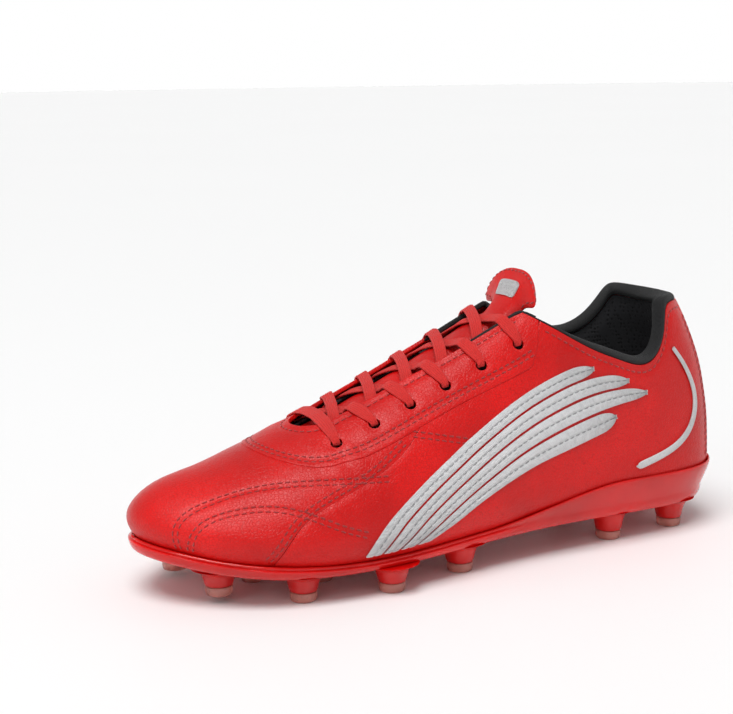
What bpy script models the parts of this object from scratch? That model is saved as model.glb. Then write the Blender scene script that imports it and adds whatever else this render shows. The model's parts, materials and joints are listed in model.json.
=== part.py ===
"""A left soccer cleat: leather upper, laced throat, padded collar and tongue, moulded stud plate.

The upper is built on one shoe-last surface. A point of it is named by s, its place round the
plan outline (0 heel, rising along the lateral side to the toe, then back along the medial side),
and by h, how far it has risen from the sole edge (0) to the crest line (1). Every panel is a
patch of that surface between two depths, so the layers nest with even gaps.
X runs from heel to toe, Y to the wearer's left (lateral), Z up from the ground. Lengths below
are millimetres; the objects are made in metres.
"""

import math

import bmesh
import bpy
import numpy as np

# ---- driving dimensions (mm) ----
LENGTH = 283.5  # heel back to toe tip of the last surface
HALF_WIDTH = 50.0  # lateral half width at the ball
HEIGHT_SCALE = 1.0  # height of the upper above the sole edge
LEATHER = 1.6
GAP = 0.3
STIFFENER = (LEATHER + GAP, LEATHER + GAP + 1.5)  # depth of heel counter and toe puff
LINING = (STIFFENER[1] + GAP, STIFFENER[1] + GAP + 0.8)
PUFF_CLEARANCE = 0.4  # more depth for the toe puff, whose long facets cut the toe's curve
COLLAR_PAD = 2.6  # extra depth of the padded collar
OVERLAY = (-GAP, -GAP - 0.8)
TONGUE_DEPTH = LINING[1] + 1.2
TONGUE_LAYERS = ((0.0, 1.0), (1.3, 3.5), (3.8, 4.6))
TONGUE_HALF = 21.0
HINGE_X = 113.0
THROAT_APEX = 212.0
EYELETS_X = (202.5, 185.3, 168.6, 151.9, 134.4, 116.1)
EYELET_Y = 25.0
EYELET_R = 2.5
LACE_WIDTH, LACE_THICK = 6.2, 1.2
STUD_TIP_R, STUD_TIP_H, STUD_BASE_R = 6.0, 4.2, 9.4
TOE_SPRING = 3.0
STUDS = (
    (253.0, 18.5), (222.0, 33.5), (184.5, 39.5), (147.0, 29.5),
    (258.0, -22.0), (228.0, -33.0), (189.0, -34.5), (155.0, -24.5),
    (231.5, 0.5), (205.0, 13.5), (206.5, -14.0),
    (64.5, 20.5), (28.0, 16.5), (65.5, -18.5), (28.0, -15.5),
)
SMALL_STUDS = (8, 9, 10)

RED = (0.62, 0.018, 0.012, 1.0)
DEEP_RED = (0.45, 0.01, 0.008, 1.0)
WHITE = (0.82, 0.82, 0.83, 1.0)
BLACK = (0.012, 0.012, 0.013, 1.0)

PX = LENGTH / 283.5
PY = HALF_WIDTH / 50.0


# ---- curves ----
def cubic(knots, values, periodic=False):
    """Natural or periodic cubic spline through values, a number or a point at each knot."""
    k, v = np.asarray(knots, float), np.asarray(values, float)
    n, step = len(k), np.diff(k)
    a, b = np.zeros((n, n)), np.zeros((n,) + v.shape[1:])
    for i in range(1, n - 1):
        a[i, i - 1 : i + 2] = step[i - 1], 2 * (step[i - 1] + step[i]), step[i]
        b[i] = 6 * ((v[i + 1] - v[i]) / step[i] - (v[i] - v[i - 1]) / step[i - 1])
    if periodic:
        a[0, 0], a[0, 1], a[0, n - 2] = 2 * (step[0] + step[-1]), step[0], step[-1]
        b[0] = 6 * ((v[1] - v[0]) / step[0] - (v[0] - v[n - 2]) / step[-1])
        a[-1, 0], a[-1, -1] = 1, -1
    else:
        a[0, 0] = a[-1, -1] = 1
    m = np.linalg.solve(a, b)

    def value(t):
        t = np.asarray(t, float)
        if periodic:
            t = k[0] + np.mod(t - k[0], k[-1] - k[0])
        i = np.clip(np.searchsorted(k, t, side="right") - 1, 0, n - 2)
        u, w, d = t - k[i], k[i + 1] - t, step[i]
        if v.ndim > 1:
            u, w, d = u[..., None], w[..., None], d[..., None]
        return (
            (m[i] * w**3 + m[i + 1] * u**3) / (6 * d)
            + (v[i] / d - m[i] * d / 6) * w
            + (v[i + 1] / d - m[i + 1] * d / 6) * u
        )

    return value


def smooth(t):
    t = np.clip(t, 0, 1)
    return t * t * (3 - 2 * t)


# ---- the last surface, on a 286 mm design length, then scaled ----
END = 286.0
LATERAL = [(2.5, 0), (6.5, 16), (19, 28), (45, 34), (85, 36.5), (125, 40), (165, 46.5),
           (200, 50), (232, 46.5), (259, 35), (277, 19), (END, -2)]
MEDIAL = [(277, -23), (259, -37), (232, -46.5), (200, -47.5), (165, -42), (125, -35),
          (85, -32.5), (45, -31.5), (19, -27), (6.5, -16)]
ring = np.array(LATERAL + MEDIAL + [LATERAL[0]], float)
chord = np.concatenate([[0], np.cumsum(np.linalg.norm(np.diff(ring, axis=0), axis=1) ** 0.75)])
toe = len(LATERAL) - 1
half = 0.5 * chord / chord[toe]
rest = 0.5 + 0.5 * (chord - chord[toe]) / (chord[-1] - chord[toe])
outline = cubic(np.where(np.arange(len(ring)) <= toe, half, rest), ring, periodic=True)

base_z = cubic([0, 40, 100, 150, 200, 235, 262, END], [19, 19, 18.5, 16.5, 15, 17, 20.5, 25])
sole_z = cubic([0, 40, 100, 150, 200, 235, 262, END], [13, 13, 13.4, 12.2, 11.3, 12.3, 15.3, 19.5])
crest = cubic(
    [-20, 0, 25, 60, 100, 120, 140, 160, 180, 200, 215, 235, 250, 267, END + 2],
    [122, 123, 134, 143, 121, 109.5, 99, 89, 79.5, 70.5, 64.5, 56.5, 51.5, 48.5, 46],
)
square = cubic([-20, 20, 60, 110, 150, 200, END], [3.0, 2.85, 2.5, 2.45, 2.2, 2.0, 2.05])
topline = {
    1: cubic([0, 12, 22, 30, 37, 44, 52, 66, 82, 98, 110],
             [106, 107, 107, 103, 93, 85, 81.5, 84.3, 91, 100.4, 107.6]),
    -1: cubic([0, 12, 22, 32, 44, 54, 66, 82, 98, 110],
              [106, 107.5, 107, 101, 93, 89, 88, 93, 101, 107.6]),
}
HEEL_PULL, TOE_X, TOE_POWER, TUCK, TUCK_H = 100.0, 210.0, 8.0, 6.0, 14.0

table_s = np.linspace(0, 1, 8001)
table_xy = outline(table_s)
toe_i = int(np.argmax(table_xy[:, 0]))
TOE_S, X_MAX = float(table_s[toe_i]), float(table_xy[toe_i, 0])
ridge_y = cubic([0, 100, 200, 250, X_MAX], [0, 1, 1, -1, float(table_xy[toe_i, 1])])


def s_of(x, side=1):
    """Outline parameter at station x of the lateral (1) or medial (-1) side."""
    if side > 0:
        return np.interp(x, table_xy[: toe_i + 1, 0], table_s[: toe_i + 1])
    return np.interp(x, table_xy[toe_i:, 0][::-1], table_s[toe_i:][::-1])


def ridge_z(x):
    full = np.clip((x - TOE_X) / (X_MAX - TOE_X), 0, 1) ** TOE_POWER
    return base_z(x) + (crest(x) - base_z(x)) * np.sqrt(np.clip(1 - full, 0, 1))


def raw(s, h):
    """Point of the surface at the design size."""
    s, h = np.broadcast_arrays(np.asarray(s, float), np.asarray(h, float))
    o = outline(s)
    xo, yo = o[..., 0], o[..., 1]
    z0, yr, n = base_z(xo), ridge_y(xo), square(xo)
    xr = xo + HEEL_PULL * (1 - smooth(xo / 75.0))
    angle = np.clip(h, 0, 1) * math.pi / 2
    a = np.where(h >= 1, 1.0, 1 - np.abs(np.cos(angle)) ** (2 / n))
    b = np.sin(angle) ** (2 / n)
    x, y = xo + (xr - xo) * a, yo + (yr - yo) * a
    z = z0 + (ridge_z(x) - z0) * b
    t = TUCK * np.clip(1 - (z - z0) / TUCK_H, 0, 1) ** 2
    dx = np.where(x > END - 50, END - 50, np.where(x < 36, 36, x)) - x
    d = np.maximum(np.hypot(dx, y), 1e-6)
    return np.stack([x + dx / d * t, y - y / d * t, z], -1)


def skin(s, h, depth=0.0):
    """Point of the surface, moved in along its normal by depth (out when negative)."""
    s, h, depth = np.broadcast_arrays(*(np.asarray(v, float) for v in (s, h, depth)))
    e = 2e-4
    hm = np.clip(h, e, 1 - e)
    near = np.abs(s - TOE_S) < 0.0015
    sm = np.where(near, TOE_S - 0.0015, s)
    across = raw(sm, hm + e) - raw(sm, hm - e)
    along = raw(sm + e, hm) - raw(sm - e, hm)
    normal = np.cross(along, across)
    normal /= np.linalg.norm(normal, axis=-1, keepdims=True) + 1e-12
    o = raw(sm, hm)
    out = np.stack([o[..., 0] - 140.0, o[..., 1] * 4, o[..., 2] - 40.0], -1)
    normal *= np.sign((normal * out).sum(-1, keepdims=True))
    normal = np.where(near[..., None], np.array([1.0, 0.0, 0.0]), normal)
    top = (h > 1 - 2 * e)[..., None]
    normal = np.where(top, normal * np.array([1.0, 0.0, 1.0]), normal)
    normal /= np.linalg.norm(normal, axis=-1, keepdims=True)
    point = raw(s, h)
    scale = np.array([PX, PY, 1.0])
    floor = base_z(point[..., 0])
    z = floor + (point[..., 2] - floor) * HEIGHT_SCALE
    return np.stack([point[..., 0], point[..., 1], z], -1) * scale - normal * depth[..., None]


def h_at_z(s, z):
    """Rise at which the surface reaches design height z."""
    s, z = np.broadcast_arrays(np.asarray(s, float), np.asarray(z, float))
    low, high = np.zeros(s.shape), np.ones(s.shape)
    for _ in range(40):
        mid = (low + high) / 2
        below = raw(s, mid)[..., 2] < z
        low, high = np.where(below, mid, low), np.where(below, high, mid)
    return (low + high) / 2


def plan(x, y):
    """(s, h) of the surface above design plan point x, y, for the instep."""
    x, y = np.broadcast_arrays(np.asarray(x, float), np.asarray(y, float))
    yr = ridge_y(x)
    s = np.where(y >= yr, s_of(x, 1), s_of(x, -1))
    c = np.clip((y - yr) / (outline(s)[..., 1] - yr), 0, 1)
    return s, np.arccos(c ** (square(x) / 2)) / (math.pi / 2)


def over(x, y, depth):
    s, h = plan(x, y)
    return skin(s, h, depth)


# ---- mesh helpers ----
def material(name, colour, roughness, metallic=0.0, extra=None):
    made = bpy.data.materials.new(name)
    made.use_nodes = True
    made.diffuse_color = colour
    shader = made.node_tree.nodes["Principled BSDF"]
    shader.inputs["Base Color"].default_value = colour
    shader.inputs["Roughness"].default_value = roughness
    shader.inputs["Metallic"].default_value = metallic
    for key, value in (extra or {}).items():
        shader.inputs[key].default_value = value
    return made


def add(name, bm, look, parent, origin=(0.0, 0.0, 0.0)):
    """Closes a bmesh in millimetres into an object in metres, faces out."""
    bmesh.ops.remove_doubles(bm, verts=bm.verts, dist=0.002)
    bmesh.ops.dissolve_degenerate(bm, edges=bm.edges, dist=0.002)
    bmesh.ops.recalc_face_normals(bm, faces=bm.faces)
    if bm.calc_volume(signed=True) < 0:
        bmesh.ops.reverse_faces(bm, faces=bm.faces)
    for v in bm.verts:
        v.co = [(c - o) * 0.001 for c, o in zip(v.co, origin)]
    mesh = bpy.data.meshes.new(name)
    bm.to_mesh(mesh)
    bm.free()
    mesh.materials.append(look)
    mesh.shade_smooth()
    mesh.set_sharp_from_angle(angle=math.radians(40))
    obj = bpy.data.objects.new(name, mesh)
    bpy.context.scene.collection.objects.link(obj)
    obj.parent = parent
    return obj


def slab(outer, inner):
    """A closed panel between two grids of points of the same shape."""
    bm = bmesh.new()
    nu, nv = outer.shape[:2]
    grids = [[[bm.verts.new(g[i, j]) for j in range(nv)] for i in range(nu)]
             for g in (outer, inner)]
    top, low = grids
    for i in range(nu - 1):
        for j in range(nv - 1):
            bm.faces.new((top[i][j], top[i + 1][j], top[i + 1][j + 1], top[i][j + 1]))
            bm.faces.new((low[i][j], low[i][j + 1], low[i + 1][j + 1], low[i + 1][j]))
    rim = [(i, 0) for i in range(nu)] + [(nu - 1, j) for j in range(1, nv)]
    rim += [(i, nv - 1) for i in range(nu - 2, -1, -1)] + [(0, j) for j in range(nv - 2, 0, -1)]
    for (a, b), (c, d) in zip(rim, rim[1:] + rim[:1]):
        bm.faces.new((top[a][b], low[a][b], low[c][d], top[c][d]))
    return bm


def lathe(profile, centre, segments):
    """A solid turned about a vertical axis through centre, from (radius, z) points."""
    bm = bmesh.new()
    first = [bm.verts.new((centre[0] + r, centre[1], z)) for r, z in profile]
    edges = [bm.edges.new(pair) for pair in zip(first, first[1:])]
    bmesh.ops.spin(bm, geom=first + edges, cent=(centre[0], centre[1], 0), axis=(0, 0, 1),
                   angle=2 * math.pi, steps=segments, use_merge=True)
    return bm


def sweep(path, width_dir, sizes, corners):
    """A closed band along a path; corners are (across, through) shares of its half size."""
    bm = bmesh.new()
    tangent = np.gradient(path, axis=0)
    tangent /= np.linalg.norm(tangent, axis=1, keepdims=True)
    rings = []
    for p, t, w, (wide, thick) in zip(path, tangent, width_dir, sizes):
        w = w - t * (w @ t)
        w /= np.linalg.norm(w)
        n = np.cross(t, w)
        rings.append([bm.verts.new(p + w * a * wide / 2 + n * b * thick / 2) for a, b in corners])
    for one, two in zip(rings, rings[1:]):
        for i in range(len(corners)):
            j = (i + 1) % len(corners)
            bm.faces.new((one[i], one[j], two[j], two[i]))
    bm.faces.new(rings[0][::-1])
    bm.faces.new(rings[-1])
    return bm


# ---- edges of the panels, in design millimetres ----
def throat_half(x):
    """Half width of the lacing gap at station x."""
    body = 13.0 + 4.5 * smooth((198.0 - x) / 88.0)
    nose = np.clip((x - (THROAT_APEX - 13.0)) / 13.0, 0, 1)
    return body * np.sqrt(1 - nose**2)


seam_half = cubic([100, 113, 128, 162, 186, 200, 206], [28.5, 29.3, 29.8, 31.2, 33, 32.6, 31.5])
TOP_X = 104.5  # station where the eyestay's seam reaches the topline
SEAM_X = np.linspace(TOP_X, 203.0, 12)  # stations along the eyestay's seam
TIP_I = 7  # the one of them where vamp, quarter and eyestay meet
NOSE = np.linspace(math.pi / 2, -math.pi / 2, 9)[1:-1]
# back edge of the vamp below that point, as (x, h)
TIP_EDGE = ((238.0, 0.0), (233.5, 0.14), (226.7, 0.262), (216.0, 0.335), (203.0, 0.372),
            (189.0, 0.402), (174.5, 0.455))


def on_topline(x, side):
    """Plan point of the topline at station x."""
    s = s_of(x, side)
    return raw(s, h_at_z(s, topline[side](x)))[..., :2]


def throat_u():
    """Plan points of the throat edge, lateral top to medial top."""
    xs = np.linspace(110.0, THROAT_APEX - 13.0, len(SEAM_X))
    side = np.stack([xs, throat_half(xs)], 1)
    nose = np.stack([THROAT_APEX - 13 + 13 * np.cos(NOSE), 13 * np.sin(NOSE)], 1)
    u = np.concatenate([side, nose, side[::-1] * [1, -1]])
    u[:, 1] += ridge_y(u[:, 0])
    return u


def seam_u():
    """Plan points of the seam round the eyestay, matching throat_u point by point."""
    side = np.stack([SEAM_X, seam_half(SEAM_X)], 1)
    nose = np.stack([203 + 28 * np.cos(NOSE), float(seam_half(203.0)) * np.sin(NOSE)], 1)
    u = np.concatenate([side, nose, side[::-1] * [1, -1]])
    u[:, 1] += ridge_y(u[:, 0])
    return u


def vamp_edge(side):
    """(x, h) along the vamp's back edge from sole edge to crest."""
    pts = [(x + 0.45, h) for x, h in TIP_EDGE]
    xs = SEAM_X[TIP_I:].copy()
    xs[0] += 0.5
    y = ridge_y(xs) + side * (seam_half(xs) + 0.4)
    pts += list(zip(xs, plan(xs, y)[1]))
    x = 203 + 28.4 * np.cos(NOSE[:4])
    y = ridge_y(x) + side * (float(seam_half(203.0)) + 0.4) * np.sin(NOSE[:4])
    pts += list(zip(x, plan(x, y)[1]))
    pts[-1] = (x[-1], 1.0)
    return np.array(pts)


def over_toe(lateral, medial, rows, power=2.0):
    """(s, h) grid from a back edge, given for each side from sole to crest, to the toe tip."""
    t = 1 - (1 - np.linspace(0, 1, rows)) ** power
    columns = []
    for side, edge in ((1, lateral), (-1, medial[::-1])):
        for x, h in edge[(side < 0) :]:
            xs = x + (X_MAX - x) * t
            columns.append((s_of(xs, side), np.full(rows, h)))
    s = np.array([c[0] for c in columns]).T
    h = np.array([c[1] for c in columns]).T
    return s, h


def side_patch(low, high, levels, side):
    """(s, h) grid between two edges of (x, h) points, at shares of the height between them."""
    low, high, v = np.asarray(low, float), np.asarray(high, float), np.asarray(levels)[None, :]
    x = low[:, :1] * (1 - v) + high[:, :1] * v
    z_low = raw(s_of(low[:, 0], side), low[:, 1])[:, 2:]
    z_high = raw(s_of(high[:, 0], side), high[:, 1])[:, 2:]
    s = s_of(x, side)
    h = h_at_z(s, z_low * (1 - v) + z_high * v)
    h[:, 0], h[:, -1] = low[:, 1], high[:, 1]
    return s, h


def rise_grid(sv, z_low, z_high, levels):
    """(s, h) grid up lines of constant s, at shares of the height between two levels."""
    v = np.asarray(levels)[None, :]
    z = np.asarray(z_low)[:, None] * (1 - v) + np.asarray(z_high)[:, None] * v
    s = sv[:, None] + 0 * z
    return s, h_at_z(s, z)


def patch(name, s, h, depths, look, parent):
    """A panel of the surface between two depths, each a number or a grid."""
    add(name, slab(skin(s, h, depths[0]), skin(s, h, depths[1])), look, parent)


# ---- clear the scene ----
for old in list(bpy.data.objects):
    bpy.data.objects.remove(old, do_unlink=True)

root = bpy.data.objects.new("cleat_root", None)
bpy.context.scene.collection.objects.link(root)

leather = material("red_leather", RED, 0.42)
shell = material("red_moulded_tpu", DEEP_RED, 0.18, extra={"Transmission Weight": 0.15})
tip_look = material("clear_stud_tip", (0.78, 0.6, 0.56, 1), 0.12, extra={"Transmission Weight": 0.5})
satin = material("white_satin_stitch", WHITE, 0.5)
mesh_black = material("black_mesh_lining", BLACK, 0.85)
binding_look = material("black_collar_binding", BLACK, 0.7)
foam = material("pale_foam", (0.75, 0.72, 0.62, 1), 0.9)
board = material("fibre_board", (0.5, 0.42, 0.3, 1), 0.9)
stiff = material("stiffener_sheet", (0.6, 0.58, 0.54, 1), 0.7)
footbed = material("black_footbed", (0.02, 0.02, 0.022, 1), 0.8)
lace_look = material("red_flat_lace", RED, 0.75)
aglet_look = material("red_lace_tip", DEEP_RED, 0.25)
badge_look = material("white_badge", WHITE, 0.45)

# ---- vamp and its lining, and the toe puff ----
s, h = over_toe(vamp_edge(1), vamp_edge(-1), 9)
patch("vamp", s, h, (0.0, LEATHER), leather, root)


def lining_edge(side):
    xs = np.array([168.4, 178, 189, 199])
    y = ridge_y(xs) + side * (throat_half(xs) + 1.0)
    hs = plan(xs, y)[1]
    pts = [(168.4, hs[0] * v) for v in (0, 0.12, 0.3, 0.5, 0.75)] + list(zip(xs, hs))
    a = np.linspace(math.pi / 2, 0, 5)[1:]
    x = 199 + 14 * np.cos(a)
    y = ridge_y(x) + side * 14.0 * np.sin(a)
    pts += list(zip(x, plan(x, y)[1]))
    pts[-1] = (x[-1], 1.0)
    return np.array(pts)


s, h = over_toe(lining_edge(1), lining_edge(-1), 8)
patch("vamp_lining", s, h, LINING, mesh_black, root)
puff = np.array([(252.0, v) for v in (0.07, 0.15, 0.25, 0.35, 0.46, 0.58, 0.7, 0.85, 1.0)])
s, h = over_toe(puff, puff, 8)
patch("toe_puff", s, h, (STIFFENER[0] + PUFF_CLEARANCE * PY, STIFFENER[1] - 0.2), stiff, root)

# ---- quarters and backstay, on stations shared with the layers inside them ----
BACK_X = 12.0
REAR_X = np.array([TOP_X, 97.0, 88.0, 78.0, 68.0, 59.0, 51.0, 43.5, 36.0, 29.0, 22.0, 16.5, BACK_X])
END_X = np.array([BACK_X, 7.2, 4.0])
BACK_S = np.concatenate([s_of(END_X, 1), [0.0], (s_of(END_X, -1) - 1)[::-1]])
LEVELS = (0, 0.045, 0.11, 0.2, 0.36, 0.52, 0.68, 0.84, 1)


def top_of(sv):
    """Design height of the topline at outline parameter sv."""
    x = np.clip(outline(sv)[..., 0], 0, 110)
    return np.where(np.mod(sv, 1.0) < 0.5, topline[1](x), topline[-1](x))


def round_heel(first):
    """Outline parameters from a lateral station round the heel to the same medial one."""
    xs = REAR_X[REAR_X <= first]
    return np.concatenate([s_of(xs, 1), BACK_S[1:-1], (s_of(xs, -1) - 1)[::-1]])


for side, word in ((1, "lateral"), (-1, "medial")):
    tip = [(x - 0.45, h) for x, h in TIP_EDGE]
    tip[0] = (tip[0][0], 0.012)
    seam_x = SEAM_X[1 : TIP_I + 1][::-1].copy()
    seam_x[0] -= 0.4
    seam_h = plan(seam_x, ridge_y(seam_x) + side * (seam_half(seam_x) + 0.4))[1]
    rear = REAR_X.copy()
    rear[0] -= 0.4
    rear[-1] += 0.4
    top_h = h_at_z(s_of(rear, side), topline[side](rear))
    high = np.concatenate([tip, np.stack([seam_x, seam_h], 1), np.stack([rear, top_h], 1)])
    low_x = np.concatenate([np.linspace(237.0, 180.0, len(tip)),
                            np.linspace(170.0, 113.0, len(seam_x)), rear])
    low = np.stack([low_x, np.zeros(len(low_x))], 1)
    s, h = side_patch(low, high, LEVELS, side)
    patch(f"quarter_{word}", s, h, (0.0, LEATHER), leather, root)

s, h = rise_grid(BACK_S, base_z(outline(BACK_S)[:, 0]), top_of(BACK_S), LEVELS)
h[:, 0] = 0.0
patch("backstay", s, h, (0.0, LEATHER), leather, root)

sv = round_heel(69.0)
s, h = rise_grid(sv, base_z(outline(sv)[:, 0]), top_of(sv), (0.07, 0.11, 0.2, 0.36, 0.5))
patch("heel_counter", s, h, (STIFFENER[0] + 0.1, STIFFENER[1]), stiff, root)


def pad(sv, hv):
    """Share of the collar padding at a point, full near the topline and none low or forward."""
    sv, hv = np.broadcast_arrays(sv, hv)
    x, floor = outline(sv)[..., 0], base_z(outline(sv)[..., 0])
    share = (raw(sv, hv)[..., 2] - floor) / (top_of(sv) - floor)
    return smooth((share - 0.40) / 0.16) * smooth((112 - x) / 14)


# ---- rear lining, collar foam and binding ----
front_x = np.array([167.6, 158.0, 149.0, 140.0, 131.0, 122.0, 112.0])
sv = np.concatenate([s_of(front_x, 1), round_heel(200.0), (s_of(front_x, -1) - 1)[::-1]])
xv = outline(sv)[:, 0]
side_v = np.where(np.mod(sv, 1.0) < 0.5, 1, -1)
h_throat = plan(xv, ridge_y(xv) + side_v * (throat_half(xv) + 1.0))[1]
z_edge = np.where(xv > 110.0, raw(sv, h_throat)[:, 2], top_of(sv))
s, h = rise_grid(sv, base_z(xv), z_edge, LEVELS)
h[:, 0] = 0.0
depth = LINING[0] + COLLAR_PAD * pad(s, h)
patch("rear_lining", s, h, (depth, depth + 0.8), mesh_black, root)

sv = round_heel(200.0)
s, h = rise_grid(sv, base_z(outline(sv)[:, 0]), top_of(sv), (0.53, 0.68, 0.84, 0.993))
back = np.maximum(LINING[0] + COLLAR_PAD * pad(s, h) - 0.5, STIFFENER[0] + 0.6)
patch("collar_foam", s, h, (STIFFENER[0], back), foam, root)

sv = np.concatenate([[s_of(109.8, 1)], round_heel(200.0), [s_of(109.8, -1) - 1]])
h_top = h_at_z(sv, top_of(sv))
edge = skin(sv, h_top, 0.0)
inward = skin(sv, h_top, 1.0) - edge
up = skin(sv, h_top + 0.004, 0.0) - skin(sv, h_top - 0.004, 0.0)
up /= np.linalg.norm(up, axis=1, keepdims=True)
wide = LINING[1] + 0.4 + COLLAR_PAD * pad(sv, h_top - 0.01)
tall = 0.8 + 1.4 * smooth((103 - outline(sv)[:, 0]) / 30)
BINDING = [(-0.92, -1.0), (0.92, -1.0), (1.0, -0.1), (0.6, 0.85), (-0.6, 0.85), (-1.0, -0.1)]
rings = []
bm = bmesh.new()
for p, n, u, w, t in zip(edge, inward, up, wide, tall):
    centre = p + n * (w / 2 - 0.15) + u * (t + 0.5)
    rings.append([bm.verts.new(centre + n * a * w / 2 + u * b * t) for a, b in BINDING])
for one, two in zip(rings, rings[1:]):
    for i in range(len(BINDING)):
        j = (i + 1) % len(BINDING)
        bm.faces.new((one[i], one[j], two[j], two[i]))
bm.faces.new(rings[0][::-1])
bm.faces.new(rings[-1])
add("collar_binding", bm, binding_look, root)

# ---- eyestay, one U-shaped facing with twelve eyelets ----
v = np.linspace(0, 1, 5)[None, :, None]
grid = throat_u()[:, None, :] * (1 - v) + seam_u()[:, None, :] * v
for row, side in ((0, 1), (-1, -1)):
    grid[row] = on_topline(np.linspace(110.0, TOP_X, 5), side)
s, h = plan(grid[..., 0], grid[..., 1])
eyestay = add("eyestay", slab(skin(s, h, 0.0), skin(s, h, LEATHER)), leather, root)


def union_or_cut(target, tools, operation):
    """Applies Booleans of the tools to the target, then removes the tools."""
    for tool in tools:
        tool.hide_render = True
        tool.display_type = "WIRE"
        change = target.modifiers.new(tool.name, "BOOLEAN")
        change.operation = operation
        change.solver = "EXACT"
        change.object = tool
    bpy.context.view_layer.update()
    graph = bpy.context.evaluated_depsgraph_get()
    made = bpy.data.meshes.new_from_object(target.evaluated_get(graph))
    target.modifiers.clear()
    old_mesh = target.data
    target.data = made
    made.name = target.name
    bpy.data.meshes.remove(old_mesh)
    for tool in tools:
        bpy.data.objects.remove(tool, do_unlink=True)


def rod(name, a, b, radius, segments=8):
    """A straight cylinder from a to b, for cutting."""
    a, b = np.asarray(a), np.asarray(b)
    t = (b - a) / np.linalg.norm(b - a)
    u = np.cross(t, [1.0, 0.0, 0.0])
    u /= np.linalg.norm(u)
    w = np.cross(t, u)
    bm = bmesh.new()
    ends = []
    for p in (a, b):
        ring_pts = [p + radius * (math.cos(q) * u + math.sin(q) * w)
                    for q in np.linspace(0, 2 * math.pi, segments, endpoint=False)]
        ends.append([bm.verts.new(c) for c in ring_pts])
    for i in range(segments):
        j = (i + 1) % segments
        bm.faces.new((ends[0][i], ends[0][j], ends[1][j], ends[1][i]))
    bm.faces.new(ends[0][::-1])
    bm.faces.new(ends[1])
    return add(name, bm, leather, root)


holes = []
for i, x in enumerate(EYELETS_X):
    for side in (1, -1):
        y = float(ridge_y(x)) + side * EYELET_Y
        a, b = over(x, y, -4.0), over(x, y, 6.0)
        holes.append(rod(f"eyelet_cut_{i}_{side}", a, b, EYELET_R))
union_or_cut(eyestay, holes, "DIFFERENCE")

# ---- white side fan, four tapered fingers each side, and the heel stripe ----
FAN_LOW = ((169.0, 0.045), (147.0, 0.100), (117.0, 0.132), (85.0, 0.143), (52.0, 0.165))
FAN_HIGH = ((200.0, 0.045), (187.0, 0.200), (150.0, 0.335), (100.0, 0.370), (56.0, 0.270))
FINGERS = ((0.0, 0.226, 0.86), (0.262, 0.482, 1.0), (0.518, 0.738, 0.94), (0.774, 1.0, 0.84))
for side, word in ((1, "lateral"), (-1, "medial")):
    for k, (share_low, share_high, reach) in enumerate(FINGERS, 1):
        fine = np.linspace(0, reach, 10)
        low_e, high_e = (cubic(np.linspace(0, 1, 5), e)(fine) for e in (FAN_LOW, FAN_HIGH))
        span = high_e - low_e
        s, h = side_patch(low_e + span * share_low, low_e + span * share_high, (0, 0.5, 1), side)
        patch(f"side_stripe_{word}_{k}", s, h, OVERLAY, satin, root)
    path = cubic([0, 0.2, 0.4, 0.6, 0.8, 1.0],
                 [(33, 87), (26.5, 77), (23.0, 64), (27.0, 51), (39.0, 42), (60.0, 36)])
    fine = np.linspace(0, 1, 13)
    mid = path(fine)
    tangent = np.gradient(mid, axis=0)
    tangent /= np.linalg.norm(tangent, axis=1, keepdims=True)
    across = np.stack([-tangent[:, 1], tangent[:, 0]], 1)
    half_w = (1.9 + 1.6 * np.sin(fine * math.pi) ** 2 * smooth(fine * 1.4))[:, None]
    half_w[-1] = 0.8
    edges = []
    for sign in (-1, 1):
        q = mid + across * half_w * sign
        q[:, 1] = np.minimum(q[:, 1], topline[side](q[:, 0]) - 0.8)
        edges.append(np.stack([q[:, 0], h_at_z(s_of(q[:, 0], side), q[:, 1])], 1))
    s, h = side_patch(edges[0], edges[1], (0, 1), side)
    patch(f"heel_stripe_{word}", s, h, (OVERLAY[0] - 0.1, OVERLAY[1] - 0.1), satin, root)


# ---- tongue: a lower part and a free flap hinged above the last crossing ----
def tongue_depth(x, y):
    """Depth of the tongue's outer face: its edges sink inside the collar, its top rises
    and opens out flatter than the instep."""
    side_drop = 3.3 * smooth((np.abs(y - ridge_y(x)) - 8) / 10) * smooth((142 - x) / 30)
    side_drop = side_drop * (1 - smooth((HINGE_X - x) / 9))
    rise = np.clip((118.0 - x) / 19.0, 0, None)
    lift = 5.0 * smooth((HINGE_X - x) / 13) * (np.abs(y - ridge_y(x)) / 19) ** 2
    return TONGUE_DEPTH + side_drop - 10.6 * rise**1.45 - lift


def tongue_grid(x_from, x_to, rows, cols, half_from, half_to):
    x = np.linspace(x_from, x_to, rows)[:, None] + np.zeros((1, cols))
    half_w = np.linspace(half_from, half_to, rows)[:, None]
    y = ridge_y(x) + half_w * np.linspace(-1, 1, cols)[None, :]
    return x, y


x, y = tongue_grid(228.0, HINGE_X + 0.5, 10, 9, 19.0, TONGUE_HALF)
names = ("tongue_shell", "tongue_foam", "tongue_lining")
looks = (leather, foam, mesh_black)
for name, look, (a, b) in zip(names, looks, TONGUE_LAYERS):
    d = tongue_depth(x, y)
    add(name, slab(over(x, y, d + a), over(x, y, d + b)), look, root)

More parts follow.
